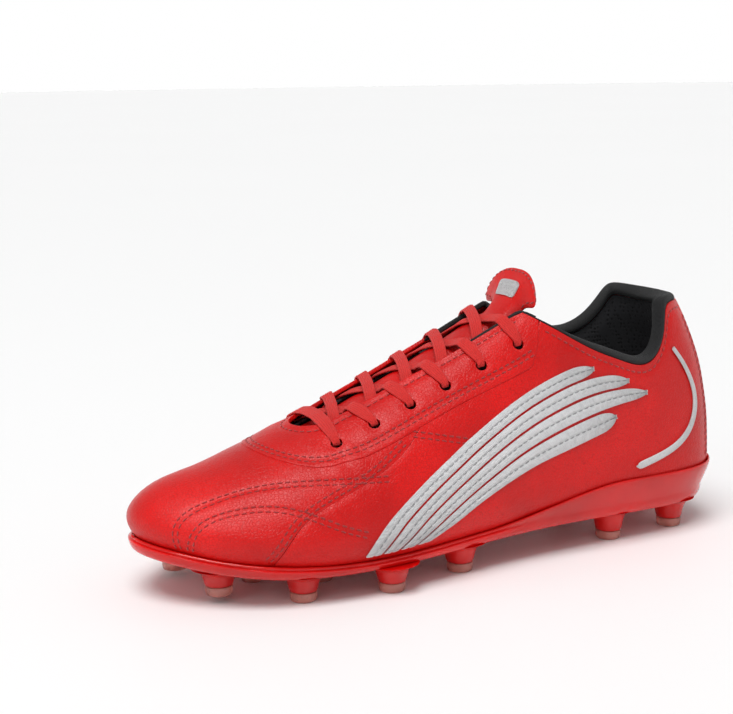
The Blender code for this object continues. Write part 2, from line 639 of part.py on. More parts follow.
hinge = over(HINGE_X + 0.25, 1.0, float(tongue_depth(HINGE_X, 1.0)))
hinge[1] = 0.0
flap_root = bpy.data.objects.new("tongue_hinge", None)
bpy.context.scene.collection.objects.link(flap_root)
flap_root.parent = root
flap_root.location = [c * 0.001 for c in hinge]
TIP_X = 99.0
rows, cols = 8, 7
x, y = tongue_grid(HINGE_X, TIP_X, rows, cols, 1.0, 1.0)
t = np.linspace(0, 1, rows)[:, None]
e = np.linspace(-1, 1, cols)[None, :]
flap_half = cubic([0, 0.3, 0.6, 0.85, 1], [15.8, 15.6, 17.0, 19.4, 17.2])
y = ridge_y(x) + e * flap_half(t)
x = x + 3.6 * smooth(t) * np.abs(e) ** 3
for name, look, (a, b) in zip(("flap_shell", "flap_foam", "flap_lining"), looks, TONGUE_LAYERS):
    d = tongue_depth(x, y)
    add(name, slab(over(x, y, d + a), over(x, y, d + b)), look, flap_root, hinge)
bx = np.linspace(108.0, 102.5, 4)[:, None] + np.zeros((1, 5))
by = ridge_y(bx) + np.linspace(-7, 7, 5)[None, :]
d = tongue_depth(bx, by)
add("flap_badge", slab(over(bx, by, d - 1.0), over(bx, by, d - 0.3)), badge_look, flap_root, hinge)

# ---- insole board and sockliner ----
def plan_out(sv, foot):
    """Outward plan direction of the sole edge at outline parameters sv."""
    near = np.clip(sv, 0.001, 0.999)
    tangent = (outline(near + 5e-4) - outline(near - 5e-4)) * [PX, PY]
    tangent /= np.linalg.norm(tangent, axis=1, keepdims=True)
    out = np.stack([-tangent[:, 1], tangent[:, 0]], 1)
    return out * np.sign((out * (foot[:, :2] - [140 * PX, 0])).sum(1))[:, None]


def floor_slab(inset, low, high, name, look):
    """A sheet that fills the sole outline, inset from the sole edge."""
    xs = np.concatenate([[3.4, 5.5, 10.0], np.linspace(18.0, 258.0, 12), [268, 276, 281.5]])
    edges = []
    for side in (1, -1):
        sv = s_of(xs, side)
        foot = raw(sv, 0.0) * [PX, PY, 1]
        edge = foot[:, :2] - plan_out(sv, foot) * inset
        edge[:, 1] = side * np.maximum(side * edge[:, 1], 0.3)
        edges.append(edge)
    v = np.linspace(0, 1, 4)[None, :, None]
    g = edges[0][:, None, :] * (1 - v) + edges[1][:, None, :] * v
    z = np.repeat(base_z(xs)[:, None, None], 4, axis=1)
    top, bottom = np.concatenate([g, z + high], -1), np.concatenate([g, z + low], -1)
    add(name, slab(top, bottom), look, root)


floor_slab(4.6, 0.2, 2.0, "insole_board", board)
floor_slab(5.6, 2.4, 6.0, "sockliner", footbed)

# ---- outsole: plate, cupped rim and stud cones in one moulding ----
stations = np.concatenate([[2.5], END_X[::-1], REAR_X[-2::-1], [116, 131, 146], SEAM_X[6:-1],
                           [206, 217, 228, 240, 251, 262, 270, 277, 282, 285, X_MAX]])
lip = 1.6 + 10.4 * smooth((140.0 - stations) / 75.0)


def sole_lines(side):
    s = s_of(stations, side)
    z0, zb = base_z(stations), sole_z(stations)
    foot = raw(s, 0.0) * [PX, PY, 1]
    out = plan_out(s, foot)
    out[-1] = (1, 0)
    cx = np.clip(stations, 34, 244) * PX
    centre = np.stack([cx, ridge_y(cx / PX) * PY], 1)

    def ring_at(offset, z):
        return np.concatenate([foot[:, :2] + out * offset, z[:, None]], 1)

    toward = centre - foot[:, :2]
    inset = foot[:, :2] + toward * 0.35
    mid_z = base_z(cx / PX)
    lines = [
        np.concatenate([centre, (mid_z - GAP - 0.9)[:, None]], 1),
        ring_at(-0.6, z0 - GAP),
        ring_at(0.35, z0 - GAP),
        *(skin(s, h_at_z(s, z0 + lip * k), -0.75) for k in (0.3, 0.62, 1.0)),
        *(skin(s, h_at_z(s, z0 + lip * k), -2.0) for k in (1.0, 0.5)),
        ring_at(3.6, z0 - 0.4),
        ring_at(3.0, (z0 + zb) / 2 - 0.6),
        ring_at(1.2, zb),
        np.concatenate([inset, (sole_z(stations) + 0.2)[:, None]], 1),
        np.concatenate([centre, (sole_z(cx / PX) + 0.5)[:, None]], 1),
    ]
    return lines


lat_lines, med_lines = sole_lines(1), sole_lines(-1)
bm = bmesh.new()
loops = []
for lines_l, lines_m in zip(lat_lines, med_lines):
    loops.append([bm.verts.new(p) for p in np.concatenate([lines_l, lines_m[::-1]])])
for one, two in zip(loops, loops[1:]):
    n = len(one)
    for i in range(n):
        j = (i + 1) % n
        bm.faces.new((one[i], one[j], two[j], two[i]))
outsole = add("outsole", bm, shell, root)

cones, tips = [], []
for i, (sx, sy) in enumerate(STUDS):
    small = 0.84 if i in SMALL_STUDS else 1.0
    lift = TOE_SPRING if sx > 250 else 0.0
    x, y = sx * PX, sy * PY
    zb = float(sole_z(sx))
    r_tip, r_base = STUD_TIP_R * small, STUD_BASE_R * small
    foot_z = lift + STUD_TIP_H + GAP
    body = zb - foot_z
    profile = [(0, foot_z), (r_tip - 0.3, foot_z), (r_tip + 0.5, foot_z + 0.3 * body),
               (r_tip + 1.4, foot_z + 0.72 * body), (r_base, zb + 0.3), (r_base, zb + 1.3),
               (0, zb + 1.3)]
    cones.append(add(f"stud_{i}", lathe(profile, (x, y), 10), shell, root))
    tip = [(0, lift + STUD_TIP_H), (r_tip - 0.3, lift + STUD_TIP_H), (r_tip - 0.8, lift),
           (1.9, lift), (1.5, lift + 1.3), (0, lift + 1.3)]
    tips.append(add(f"stud_tip_{i + 1:02d}", lathe(tip, (x, y), 12), tip_look, root))
union_or_cut(outsole, cones, "UNION")

# ---- lace ----
UNDER = LEATHER + GAP + LACE_THICK / 2  # depth of the lace's middle behind the facing
OVER = -(GAP + LACE_THICK / 2 + 0.2)  # and in front of it


def depth_along(w, on_top, half_gap):
    """Depth of a strand: w is negative under its own facing and positive over the other."""
    if on_top:
        knots = [-26.0, -half_gap + 1.2, -7.9, 0.0, 7.9, half_gap - 1.8, 26.0]
        values = [UNDER, UNDER, 1.3, 0.7, -0.1, OVER + 0.05, OVER]
    else:
        knots = [-26.0, -half_gap, -7.9, 0.0, 7.9, half_gap - 1.9, 26.0]
        values = [UNDER, UNDER + 0.1, UNDER + 0.7, UNDER + 0.75, UNDER + 0.6, OVER + 0.05, OVER]
    return float(np.interp(w, knots, values))


def strand(k, side_from):
    """Plan points and depths from eyelet k on one side to eyelet k + 1 on the other."""
    x0, x1 = EYELETS_X[k], EYELETS_X[k + 1]
    far = EYELET_Y
    g = float(throat_half((x0 + x1) / 2))
    ends = (-g + 1.2, -7.9) if side_from > 0 else (-g, -7.9)
    marks = [-far + 1.6, -(far + g) / 2, ends[0], ends[1], 0.0, 7.9, g - 1.8, g + 3.5, far - 2.4]
    pts = []
    for w in marks:
        x = x0 + (x1 - x0) * (far + w) / (2 * far)
        wide = 4.8 if abs(w) < g - 1 else LACE_WIDTH
        wide = 4.0 if abs(w) > far - 3 else wide
        pts.append((x, -w * side_from, depth_along(w, side_from > 0, g), wide, LACE_THICK))
    return pts


def through(k, side):
    """Points of the turn through an eyelet, from outside to inside."""
    x, y = EYELETS_X[k], EYELET_Y * side
    return [(x, y - 0.8 * side, OVER + 0.3, 3.4, 1.3), (x, y + 0.2 * side, 0.0, 3.0, 1.5),
            (x, y + 0.2 * side, LEATHER, 3.0, 1.5), (x, y - 0.8 * side, UNDER - 0.1, 3.4, 1.3)]


def half_lace(side):
    """From the eyelet after the bar to the tucked tail."""
    pts = through(0, side)
    for k in range(5):
        pts += strand(k, side)
        side = -side
        pts += through(k + 1, side)
    x = EYELETS_X[5]
    inside = LINING[1]
    dive = ((0.0, 22.0, UNDER), (0.3, 18.8, UNDER + 0.05), (0.5, 16.4, UNDER + 0.6),
            (0.5, 15.9, inside), (0.5, 17.8, inside + 1.2))
    pts += [(x + dx, y * side, d, 4.4, LACE_THICK) for dx, y, d in dive]
    return pts, side


def tail():
    """(x, z, depth) of the tucked end inside the lining, heading down and toward the toe."""
    return [(118.5, 91.0, LINING[1] + 1.6), (121.5, 81.0, LINING[1] + 2.0),
            (127.0, 72.5, LINING[1] + 2.2), (136.0, 67.5, LINING[1] + 2.2),
            (146.0, 63.5, LINING[1] + 2.2), (156.0, 59.5, LINING[1] + 2.2)]


def lace_half_points(side):
    pts, end = half_lace(side)
    out, sizes, normals = [], [], []
    for x, y, d, w, t in pts:
        yy = float(ridge_y(x)) + y
        p, q = over(x, yy, d), over(x, yy, d - 1.0)
        out.append(p)
        normals.append(q - p)
        sizes.append((w, t))
    for x, z, d in tail():
        s = s_of(x, end)
        h = h_at_z(s, z)
        p, q = skin(s, h, d), skin(s, h, d - 1.0)
        out.append(p)
        normals.append(q - p)
        sizes.append((5.2, LACE_THICK))
    return np.array(out), np.array(sizes), np.array(normals)


lat_pts, lat_sizes, lat_n = lace_half_points(1)
med_pts, med_sizes, med_n = lace_half_points(-1)
bar = [(EYELETS_X[0], u, OVER + rise) for u, rise in ((-22.0, 0), (-13.0, 0), (-5.0, 0.2),
                                                     (5.0, 0.2), (13.0, 0), (22.0, 0))]
bar_pts = np.array([over(x, float(ridge_y(x)) + u, d) for x, u, d in bar])
bar_sizes = np.array([(4.4, 1.2)] + [(LACE_WIDTH, 1.2)] * 4 + [(4.4, 1.2)])
control = np.concatenate([med_pts[::-1], bar_pts, lat_pts])
sizes = np.concatenate([med_sizes[::-1], bar_sizes, lat_sizes])


def width_directions(path, normals):
    """Width direction at each point: flat on the surface, or carried over where it dives."""
    tangent = np.gradient(path, axis=0)
    tangent /= np.linalg.norm(tangent, axis=1, keepdims=True)
    mid = len(path) // 2
    out = np.zeros_like(path)
    for order in (range(mid, len(path)), range(mid - 1, -1, -1)):
        w = np.array([0.88, 0.0, -0.47]) if order[0] == mid else out[mid].copy()
        for i in order:
            t, n = tangent[i], normals[i]
            w = w - t * (w @ t)
            if abs(n @ t) < 0.6:
                flat = np.cross(n, t)
                w = flat * (1 if flat @ w >= 0 else -1)
            w /= np.linalg.norm(w)
            out[i] = w
    return out


bar_n = np.array([over(x, float(ridge_y(x)) + u, d + 1) - p for (x, u, d), p in zip(bar, bar_pts)])
directions = width_directions(control, np.concatenate([med_n[::-1], bar_n, lat_n]))
BAND = [(-1.0, 0.0), (-0.82, -1.0), (0.82, -1.0), (1.0, 0.0), (0.82, 1.0), (-0.82, 1.0)]
add("lace", sweep(control, directions, sizes, BAND), lace_look, root)
for word, end, prev, w in (("a", control[0], control[1], directions[0]),
                           ("b", control[-1], control[-2], directions[-1])):
    t = (end - prev) / np.linalg.norm(end - prev)
    path = np.array([end + t * d for d in (0.35, 4.0, 12.0, 15.0)])
    size = [(2.6, 1.6), (2.6, 1.6), (2.6, 1.6), (1.8, 1.2)]
    add(f"aglet_{word}", sweep(path, [w] * 4, size, BAND), aglet_look, root)

# ---- set the origin: centred in plan, lowest point on the ground ----
bpy.context.view_layer.update()
corners = [obj.matrix_world @ v.co for obj in bpy.data.objects if obj.type == "MESH"
           for v in obj.data.vertices]
low = [min(c[k] for c in corners) for k in range(3)]
high = [max(c[k] for c in corners) for k in range(3)]
root.location = (-(low[0] + high[0]) / 2, -(low[1] + high[1]) / 2, -low[2])
bpy.context.view_layer.update()
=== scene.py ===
"""Looks of a left soccer cleat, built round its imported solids.

The upper is a set of patches of one shoe-last surface. A point of it is named by s, its place
round the plan outline (0 heel, rising along the lateral side to the toe, then back along the
medial side), and by h, its rise from the sole edge (0) to the crest line (1). Shapes are worked
out in design millimetres, x from the heel to the toe, and laid into the frame in metres.
"""

import json
import math

import bpy
import numpy as np
from mathutils import Matrix, Vector
from mathutils.bvhtree import BVHTree
from mathutils.kdtree import KDTree

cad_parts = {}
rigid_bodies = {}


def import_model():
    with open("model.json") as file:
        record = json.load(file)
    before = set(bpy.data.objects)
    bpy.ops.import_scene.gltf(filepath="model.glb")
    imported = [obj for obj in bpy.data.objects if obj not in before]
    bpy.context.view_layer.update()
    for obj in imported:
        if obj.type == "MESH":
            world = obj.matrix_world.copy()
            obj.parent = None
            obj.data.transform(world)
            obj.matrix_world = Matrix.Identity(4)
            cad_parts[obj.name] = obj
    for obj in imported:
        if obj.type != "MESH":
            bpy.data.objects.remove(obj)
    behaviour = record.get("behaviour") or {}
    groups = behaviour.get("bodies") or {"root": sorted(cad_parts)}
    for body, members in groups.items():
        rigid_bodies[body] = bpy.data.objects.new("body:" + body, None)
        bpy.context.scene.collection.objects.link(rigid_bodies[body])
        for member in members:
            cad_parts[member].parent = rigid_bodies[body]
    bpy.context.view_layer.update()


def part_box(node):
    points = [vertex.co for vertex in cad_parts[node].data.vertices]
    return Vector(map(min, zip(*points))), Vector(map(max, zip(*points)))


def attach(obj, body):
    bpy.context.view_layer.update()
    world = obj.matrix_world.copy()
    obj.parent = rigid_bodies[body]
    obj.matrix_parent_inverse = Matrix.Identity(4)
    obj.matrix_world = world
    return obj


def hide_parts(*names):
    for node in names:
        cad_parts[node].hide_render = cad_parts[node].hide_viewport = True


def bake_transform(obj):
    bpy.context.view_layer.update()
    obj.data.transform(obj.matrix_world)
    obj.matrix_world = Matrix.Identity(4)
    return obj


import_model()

bl_info = {
    "name": "Soccer Cleat",
    "version": (1, 0, 0),
    "blender": (4, 5, 0),
    "location": "3D View > Sidebar > Cleat",
    "description": "Leather upper, laces, collar and moulded stud plate of a left soccer cleat",
    "category": "Object",
}

# ---- the frame, in design millimetres ----
SIDES = ((1, "lateral"), (-1, "medial"))
STUDS = (
    (253.0, 18.5), (222.0, 33.5), (184.5, 39.5), (147.0, 29.5),
    (258.0, -22.0), (228.0, -33.0), (189.0, -34.5), (155.0, -24.5),
    (231.5, 0.5), (205.0, 13.5), (206.5, -14.0),
    (64.5, 20.5), (28.0, 16.5), (65.5, -18.5), (28.0, -15.5),
)
SMALL_STUDS = (8, 9, 10)
STUD_TIP_R, STUD_TIP_H, STUD_BASE_R, TOE_SPRING = 6.0, 4.2, 9.4, 3.0
LEATHER, GAP, LINING, COLLAR_PAD = 1.6, 0.3, 3.7, 2.6
TONGUE_DEPTH, HINGE_X, TONGUE_TOP_X, THROAT_APEX, TOP_X = 5.7, 113.0, 99.0, 212.0, 104.5
EYELETS_X = (202.5, 185.3, 168.6, 151.9, 134.4, 116.1)
EYELET_Y, EYELET_R = 25.0, 2.5
BACK_X = 12.0

low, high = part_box("stud_tip_12")
SHIFT = np.array([(low.x + high.x) / 2 - STUDS[11][0] / 1000,
                  (low.y + high.y) / 2 - STUDS[11][1] / 1000, 0.0])


def place(points):
    """Design millimetres to metres in the frame."""
    return np.asarray(points) * 0.001 + SHIFT


# ---- curves ----
def cubic(knots, values, periodic=False):
    """Natural or periodic cubic spline through values, a number or a point at each knot."""
    k, v = np.asarray(knots, float), np.asarray(values, float)
    n, step = len(k), np.diff(k)
    a, b = np.zeros((n, n)), np.zeros((n,) + v.shape[1:])
    for i in range(1, n - 1):
        a[i, i - 1 : i + 2] = step[i - 1], 2 * (step[i - 1] + step[i]), step[i]
        b[i] = 6 * ((v[i + 1] - v[i]) / step[i] - (v[i] - v[i - 1]) / step[i - 1])
    if periodic:
        a[0, 0], a[0, 1], a[0, n - 2] = 2 * (step[0] + step[-1]), step[0], step[-1]
        b[0] = 6 * ((v[1] - v[0]) / step[0] - (v[0] - v[n - 2]) / step[-1])
        a[-1, 0], a[-1, -1] = 1, -1
    else:
        a[0, 0] = a[-1, -1] = 1
    m = np.linalg.solve(a, b)

    def value(t):
        t = np.asarray(t, float)
        if periodic:
            t = k[0] + np.mod(t - k[0], k[-1] - k[0])
        i = np.clip(np.searchsorted(k, t, side="right") - 1, 0, n - 2)
        u, w, d = t - k[i], k[i + 1] - t, step[i]
        if v.ndim > 1:
            u, w, d = u[..., None], w[..., None], d[..., None]
        return (
            (m[i] * w**3 + m[i + 1] * u**3) / (6 * d)
            + (v[i] / d - m[i] * d / 6) * w
            + (v[i + 1] / d - m[i + 1] * d / 6) * u
        )

    return value


def smooth(t):
    """Eased step from 0 to 1."""
    t = np.clip(t, 0, 1)
    return t * t * (3 - 2 * t)


def unit(v):
    return v / (np.linalg.norm(v, axis=-1, keepdims=True) + 1e-12)


def distances(path):
    """Distance along a path at each of its points."""
    return np.concatenate([[0], np.cumsum(np.linalg.norm(np.diff(path, axis=0), axis=1))])


def resampled(rows, count, lead=3):
    """Rows at even steps along a path, whose places are the first lead columns."""
    length = distances(rows[:, :lead])
    at = np.linspace(0, length[-1], count)
    return np.stack([np.interp(at, length, column) for column in rows.T], 1)


def eased(path, times):
    """A path with its corners rounded off and its ends held."""
    for _ in range(times):
        path[1:-1] = (path[:-2] + 2 * path[1:-1] + path[2:]) / 4
    return path


def circle(sides):
    """Points round a unit circle."""
    turn = np.linspace(0, 2 * math.pi, sides, endpoint=False)
    return np.stack([np.cos(turn), np.sin(turn)], 1)


def run(points, count):
    """count points evenly along a smooth line through (x, h) or (x, z) points."""
    pts = np.asarray(points, float)
    chord = distances(pts * (1, 60 if pts[:, 1].max() <= 1.0 else 1))
    return cubic(chord, pts)(np.linspace(0, chord[-1], count))


# ---- the last surface ----
END = 286.0
LATERAL = [(2.5, 0), (6.5, 16), (19, 28), (45, 34), (85, 36.5), (125, 40), (165, 46.5),
           (200, 50), (232, 46.5), (259, 35), (277, 19), (END, -2)]
MEDIAL = [(277, -23), (259, -37), (232, -46.5), (200, -47.5), (165, -42), (125, -35),
          (85, -32.5), (45, -31.5), (19, -27), (6.5, -16)]
ring = np.array(LATERAL + MEDIAL + [LATERAL[0]], float)
chord = np.concatenate([[0], np.cumsum(np.linalg.norm(np.diff(ring, axis=0), axis=1) ** 0.75)])
toe = len(LATERAL) - 1
half = 0.5 * chord / chord[toe]
rest = 0.5 + 0.5 * (chord - chord[toe]) / (chord[-1] - chord[toe])
outline = cubic(np.where(np.arange(len(ring)) <= toe, half, rest), ring, periodic=True)

base_z = cubic([0, 40, 100, 150, 200, 235, 262, END], [19, 19, 18.5, 16.5, 15, 17, 20.5, 25])
sole_z = cubic([0, 40, 100, 150, 200, 235, 262, END], [13, 13, 13.4, 12.2, 11.3, 12.3, 15.3, 19.5])
crest = cubic(
    [-20, 0, 25, 60, 100, 120, 140, 160, 180, 200, 215, 235, 250, 267, END + 2],
    [122, 123, 134, 143, 121, 109.5, 99, 89, 79.5, 70.5, 64.5, 56.5, 51.5, 48.5, 46],
)
square = cubic([-20, 20, 60, 110, 150, 200, END], [3.0, 2.85, 2.5, 2.45, 2.2, 2.0, 2.05])
topline = {
    1: cubic([0, 12, 22, 30, 37, 44, 52, 66, 82, 98, 110],
             [106, 107, 107, 103, 93, 85, 81.5, 84.3, 91, 100.4, 107.6]),
    -1: cubic([0, 12, 22, 32, 44, 54, 66, 82, 98, 110],
              [106, 107.5, 107, 101, 93, 89, 88, 93, 101, 107.6]),
}
HEEL_PULL, TOE_X, TOE_POWER, TUCK, TUCK_H = 100.0, 210.0, 8.0, 6.0, 14.0

table_s = np.linspace(0, 1, 8001)
table_xy = outline(table_s)
toe_i = int(np.argmax(table_xy[:, 0]))
TOE_S, X_MAX = float(table_s[toe_i]), float(table_xy[toe_i, 0])
ridge_y = cubic([0, 100, 200, 250, X_MAX], [0, 1, 1, -1, float(table_xy[toe_i, 1])])


def s_of(x, side=1):
    """Outline parameter at station x of the lateral (1) or medial (-1) side."""
    if side > 0:
        return np.interp(x, table_xy[: toe_i + 1, 0], table_s[: toe_i + 1])
    return np.interp(x, table_xy[toe_i:, 0][::-1], table_s[toe_i:][::-1])


def ridge_z(x):
    """Height of the crest line, which rounds down over the toe."""
    full = np.clip((x - TOE_X) / (X_MAX - TOE_X), 0, 1) ** TOE_POWER
    return base_z(x) + (crest(x) - base_z(x)) * np.sqrt(np.clip(1 - full, 0, 1))


def raw(s, h):
    """Point of the surface."""
    s, h = np.broadcast_arrays(np.asarray(s, float), np.asarray(h, float))
    o = outline(s)
    xo, yo = o[..., 0], o[..., 1]
    z0, yr, n = base_z(xo), ridge_y(xo), square(xo)
    xr = xo + HEEL_PULL * (1 - smooth(xo / 75.0))
    angle = np.clip(h, 0, 1) * math.pi / 2
    a = np.where(h >= 1, 1.0, 1 - np.abs(np.cos(angle)) ** (2 / n))
    b = np.sin(angle) ** (2 / n)
    x, y = xo + (xr - xo) * a, yo + (yr - yo) * a
    z = z0 + (ridge_z(x) - z0) * b
    t = TUCK * np.clip(1 - (z - z0) / TUCK_H, 0, 1) ** 2
    dx = np.where(x > END - 50, END - 50, np.where(x < 36, 36, x)) - x
    d = np.maximum(np.hypot(dx, y), 1e-6)
    return np.stack([x + dx / d * t, y - y / d * t, z], -1)


def normal_at(s, h):
    """Outward normal of the surface."""
    s, h = np.broadcast_arrays(np.asarray(s, float), np.asarray(h, float))
    e = 2e-4
    hm = np.clip(h, e, 1 - e)
    near = np.abs(s - TOE_S) < 0.0015
    sm = np.where(near, TOE_S - 0.0015, s)
    across = raw(sm, hm + e) - raw(sm, hm - e)
    along = raw(sm + e, hm) - raw(sm - e, hm)
    normal = unit(np.cross(along, across))
    o = raw(sm, hm)
    out = np.stack([o[..., 0] - 140.0, o[..., 1] * 4, o[..., 2] - 40.0], -1)
    normal *= np.sign((normal * out).sum(-1, keepdims=True))
    normal = np.where(near[..., None], np.array([1.0, 0.0, 0.0]), normal)
    top = (h > 1 - 2 * e)[..., None]
    return unit(np.where(top, normal * np.array([1.0, 0.0, 1.0]), normal))


def skin(s, h, depth=0.0):
    """Point of the surface, moved in along its normal by depth (out when negative)."""
    s, h, depth = np.broadcast_arrays(*(np.asarray(v, float) for v in (s, h, depth)))
    return raw(s, h) - normal_at(s, h) * depth[..., None]


def h_at_z(s, z):
    """Rise at which the surface reaches height z."""
    s, z = np.broadcast_arrays(np.asarray(s, float), np.asarray(z, float))
    low, high = np.zeros(s.shape), np.ones(s.shape)
    for _ in range(26):
        mid = (low + high) / 2
        below = raw(s, mid)[..., 2] < z
        low, high = np.where(below, mid, low), np.where(below, high, mid)
    return (low + high) / 2


def plan(x, y):
    """(s, h) of the surface above plan point x, y, for the instep."""
    x, y = np.broadcast_arrays(np.asarray(x, float), np.asarray(y, float))
    yr = ridge_y(x)
    s = np.where(y >= yr, s_of(x, 1), s_of(x, -1))
    c = np.clip((y - yr) / (outline(s)[..., 1] - yr), 0, 1)
    return s, np.arccos(c ** (square(x) / 2)) / (math.pi / 2)


def over(x, y, depth):
    """Point of the surface above plan point x, y, moved in by depth."""
    s, h = plan(x, y)
    return skin(s, h, depth)


# ---- edges of the panels ----
def throat_half(x):
    """Half width of the lacing gap at station x."""
    body = 13.0 + 4.5 * smooth((198.0 - x) / 88.0)
    nose = np.clip((x - (THROAT_APEX - 13.0)) / 13.0, 0, 1)
    return body * np.sqrt(1 - nose**2)


seam_half = cubic([100, 113, 128, 162, 186, 200, 206], [28.5, 29.3, 29.8, 31.2, 33, 32.6, 31.5])
CORNER_X = 167.2  # where vamp, quarter and facing meet
VAMP_BACK = ((238.0, 0.0), (233.5, 0.14), (226.7, 0.262), (216.0, 0.335), (203.0, 0.372),
             (189.0, 0.402), (174.5, 0.455))
TOE_OUTER = ((273.8, 0.06), (266.6, 0.481), (248.4, 0.596), (222.0, 0.516), (186.0, 0.36))
TOE_INNER = ((269.9, 0.06), (260.7, 0.388), (243.4, 0.446), (225.5, 0.346), (208.8, 0.206),
             (199.0, 0.150))
QUARTER_DART = ((172.0, 0.50), (158.0, 0.400), (147.5, 0.335))


def on_topline(x, side):
    """Plan point of the topline at station x."""
    s = s_of(x, side)
    return raw(s, h_at_z(s, topline[side](x)))[..., :2]


def facing_edges(count, nose_count):
    """Plan points of the throat edge and of the seam round the facing, lateral to medial top."""
    both = []
    turn = np.linspace(math.pi / 2, -math.pi / 2, nose_count)[1:-1]
    for x0, x1, half_at, reach in ((110.0, THROAT_APEX - 13, throat_half, 13.0),
                                   (TOP_X, 203.0, seam_half, 28.0)):
        xs = np.linspace(x0, x1, count)
        side = np.stack([xs, half_at(xs)], 1)
        nose = np.stack([x1 + reach * np.cos(turn), float(half_at(x1)) * np.sin(turn)], 1)
        u = np.concatenate([side, nose, side[::-1] * [1, -1]])
        u[:, 1] += ridge_y(u[:, 0])
        both.append(u)
    return both


def seam_xh(x, side, out=0.4):
    """(x, h) of the facing's seam at stations x."""
    return np.stack([x, plan(x, ridge_y(x) + side * (seam_half(x) + out))[1]], 1)


WING_X = 203.0  # the vamp reaches back beside the facing from here to the corner


def wing_edges(side, x):
    """(x, h) at stations x along the vamp's lower back edge and along the facing's seam."""
    corner = seam_xh(np.array([CORNER_X + 0.3]), side)
    tip = run(np.concatenate([np.array(VAMP_BACK) + (0.12, 0), corner]), 200)[::-1]
    return np.stack([x, np.interp(x, tip[:, 0], tip[:, 1])], 1), seam_xh(x, side)


def vamp_edge(side):
    """(x, h) along the vamp's back edge from sole edge to crest, straight across its wing."""
    low, seam = wing_edges(side, np.array([WING_X]))
    tip = run(np.concatenate([np.array(VAMP_BACK[:5]) + (0.12, 0)]), 40)[:-1]
    across = side_patch(low, seam, WING_LEVELS, side)[1][0]
    across = np.stack([np.full(len(across), WING_X), across], 1)
    turn = np.linspace(math.pi / 2, 0, 46)[1:]
    x = WING_X + 28.4 * np.cos(turn)
    y = ridge_y(x) + side * (float(seam_half(WING_X)) + 0.4) * np.sin(turn)
    nose = np.stack([x, plan(x, y)[1]], 1)
    nose[-1, 1] = 1.0
    return np.concatenate([tip, across, nose])


WING_LEVELS = np.linspace(0, 1, 26)


def over_toe(lateral, medial, rows, power=2.0):
    """(s, h) grid from a back edge, given for each side from sole to crest, to the toe tip."""
    t = 1 - (1 - np.linspace(0, 1, rows)) ** power
    columns = []
    for side, edge in ((1, lateral), (-1, medial[::-1])):
        for x, h in edge[(side < 0) :]:
            xs = x + (X_MAX - x) * t
            columns.append((s_of(xs, side), np.full(rows, h)))
    return np.array([c[0] for c in columns]).T, np.array([c[1] for c in columns]).T


def side_patch(low, high, levels, side):
    """(s, h) grid between two edges of (x, h) points, at shares of the height between them."""
    low, high, v = np.asarray(low, float), np.asarray(high, float), np.asarray(levels)[None, :]
    x = low[:, :1] * (1 - v) + high[:, :1] * v
    z_low = raw(s_of(low[:, 0], side), low[:, 1])[:, 2:]
    z_high = raw(s_of(high[:, 0], side), high[:, 1])[:, 2:]
    s = s_of(x, side)
    h = h_at_z(s, z_low * (1 - v) + z_high * v)
    h[:, 0], h[:, -1] = low[:, 1], high[:, 1]
    return s, h


def rise_grid(sv, z_low, z_high, levels):
    """(s, h) grid up lines of constant s, at shares of the height between two levels."""
    v = np.asarray(levels)[None, :]
    z = np.asarray(z_low)[:, None] * (1 - v) + np.asarray(z_high)[:, None] * v
    s = sv[:, None] + 0 * z
    return s, h_at_z(s, z)


def top_of(sv):
    """Height of the topline at outline parameter sv."""
    x = np.clip(outline(sv)[..., 0], 0, 110)
    return np.where(np.mod(sv, 1.0) < 0.5, topline[1](x), topline[-1](x))


def round_heel(first, count):
    """Outline parameters from a lateral station round the heel to the same medial one."""
    return np.linspace(s_of(first, 1), s_of(first, -1) - 1, count)


def pad(sv, hv):
    """Share of the collar padding at a point, full near the topline and none low or forward."""
    sv, hv = np.broadcast_arrays(sv, hv)
    x, floor = outline(sv)[..., 0], base_z(outline(sv)[..., 0])
    share = (raw(sv, hv)[..., 2] - floor) / (top_of(sv) - floor)
    return smooth((share - 0.40) / 0.16) * smooth((112 - x) / 14)


# ---- creases of the worn leather and the grooves that stitching pulls in ----
def ripple(p, height):
    """Slow swells all over and finer creases where the forefoot bends, in millimetres."""
    x, y, z = p[..., 0], p[..., 1], p[..., 2]
    swell = np.sin(x / 9.3 + 1.7 * np.sin(z / 11.0)) * np.sin(y / 12.1 + z / 15.7 + 0.6)
    swell += 0.6 * np.sin(x / 5.1 - z / 6.3 + 2.0 * np.sin(y / 10.0)) * np.sin(z / 7.7 + x / 21.0)
    bend = np.exp(-(((x - 203) / 15.0) ** 2)) * smooth((z - 22) / 14)
    crease = np.sin((x + 0.42 * np.abs(y)) / 1.75 + 1.6 * np.sin(z / 8.0 + y / 14.0))
    fold = np.exp(-(((x - 74) / 16.0) ** 2)) * smooth((z - 40) / 20)
    sag = np.sin((z + 0.3 * x) / 3.1 + 1.2 * np.sin(x / 12.0))
    return height * (swell + 0.9 * bend * crease + 0.55 * fold * sag)


def on_upper(points, side):
    """Points and outward normals of the surface along (x, h) points of one side."""
    points = np.asarray(points)
    s = s_of(points[:, 0], side)
    return raw(s, points[:, 1]), normal_at(s, points[:, 1])


def shifted(line, by):
    """A line of (points, normals) moved sideways on the surface, to its left seen from outside."""
    p, n = line
    return p + np.cross(n, unit(np.gradient(p, axis=0))) * by, n


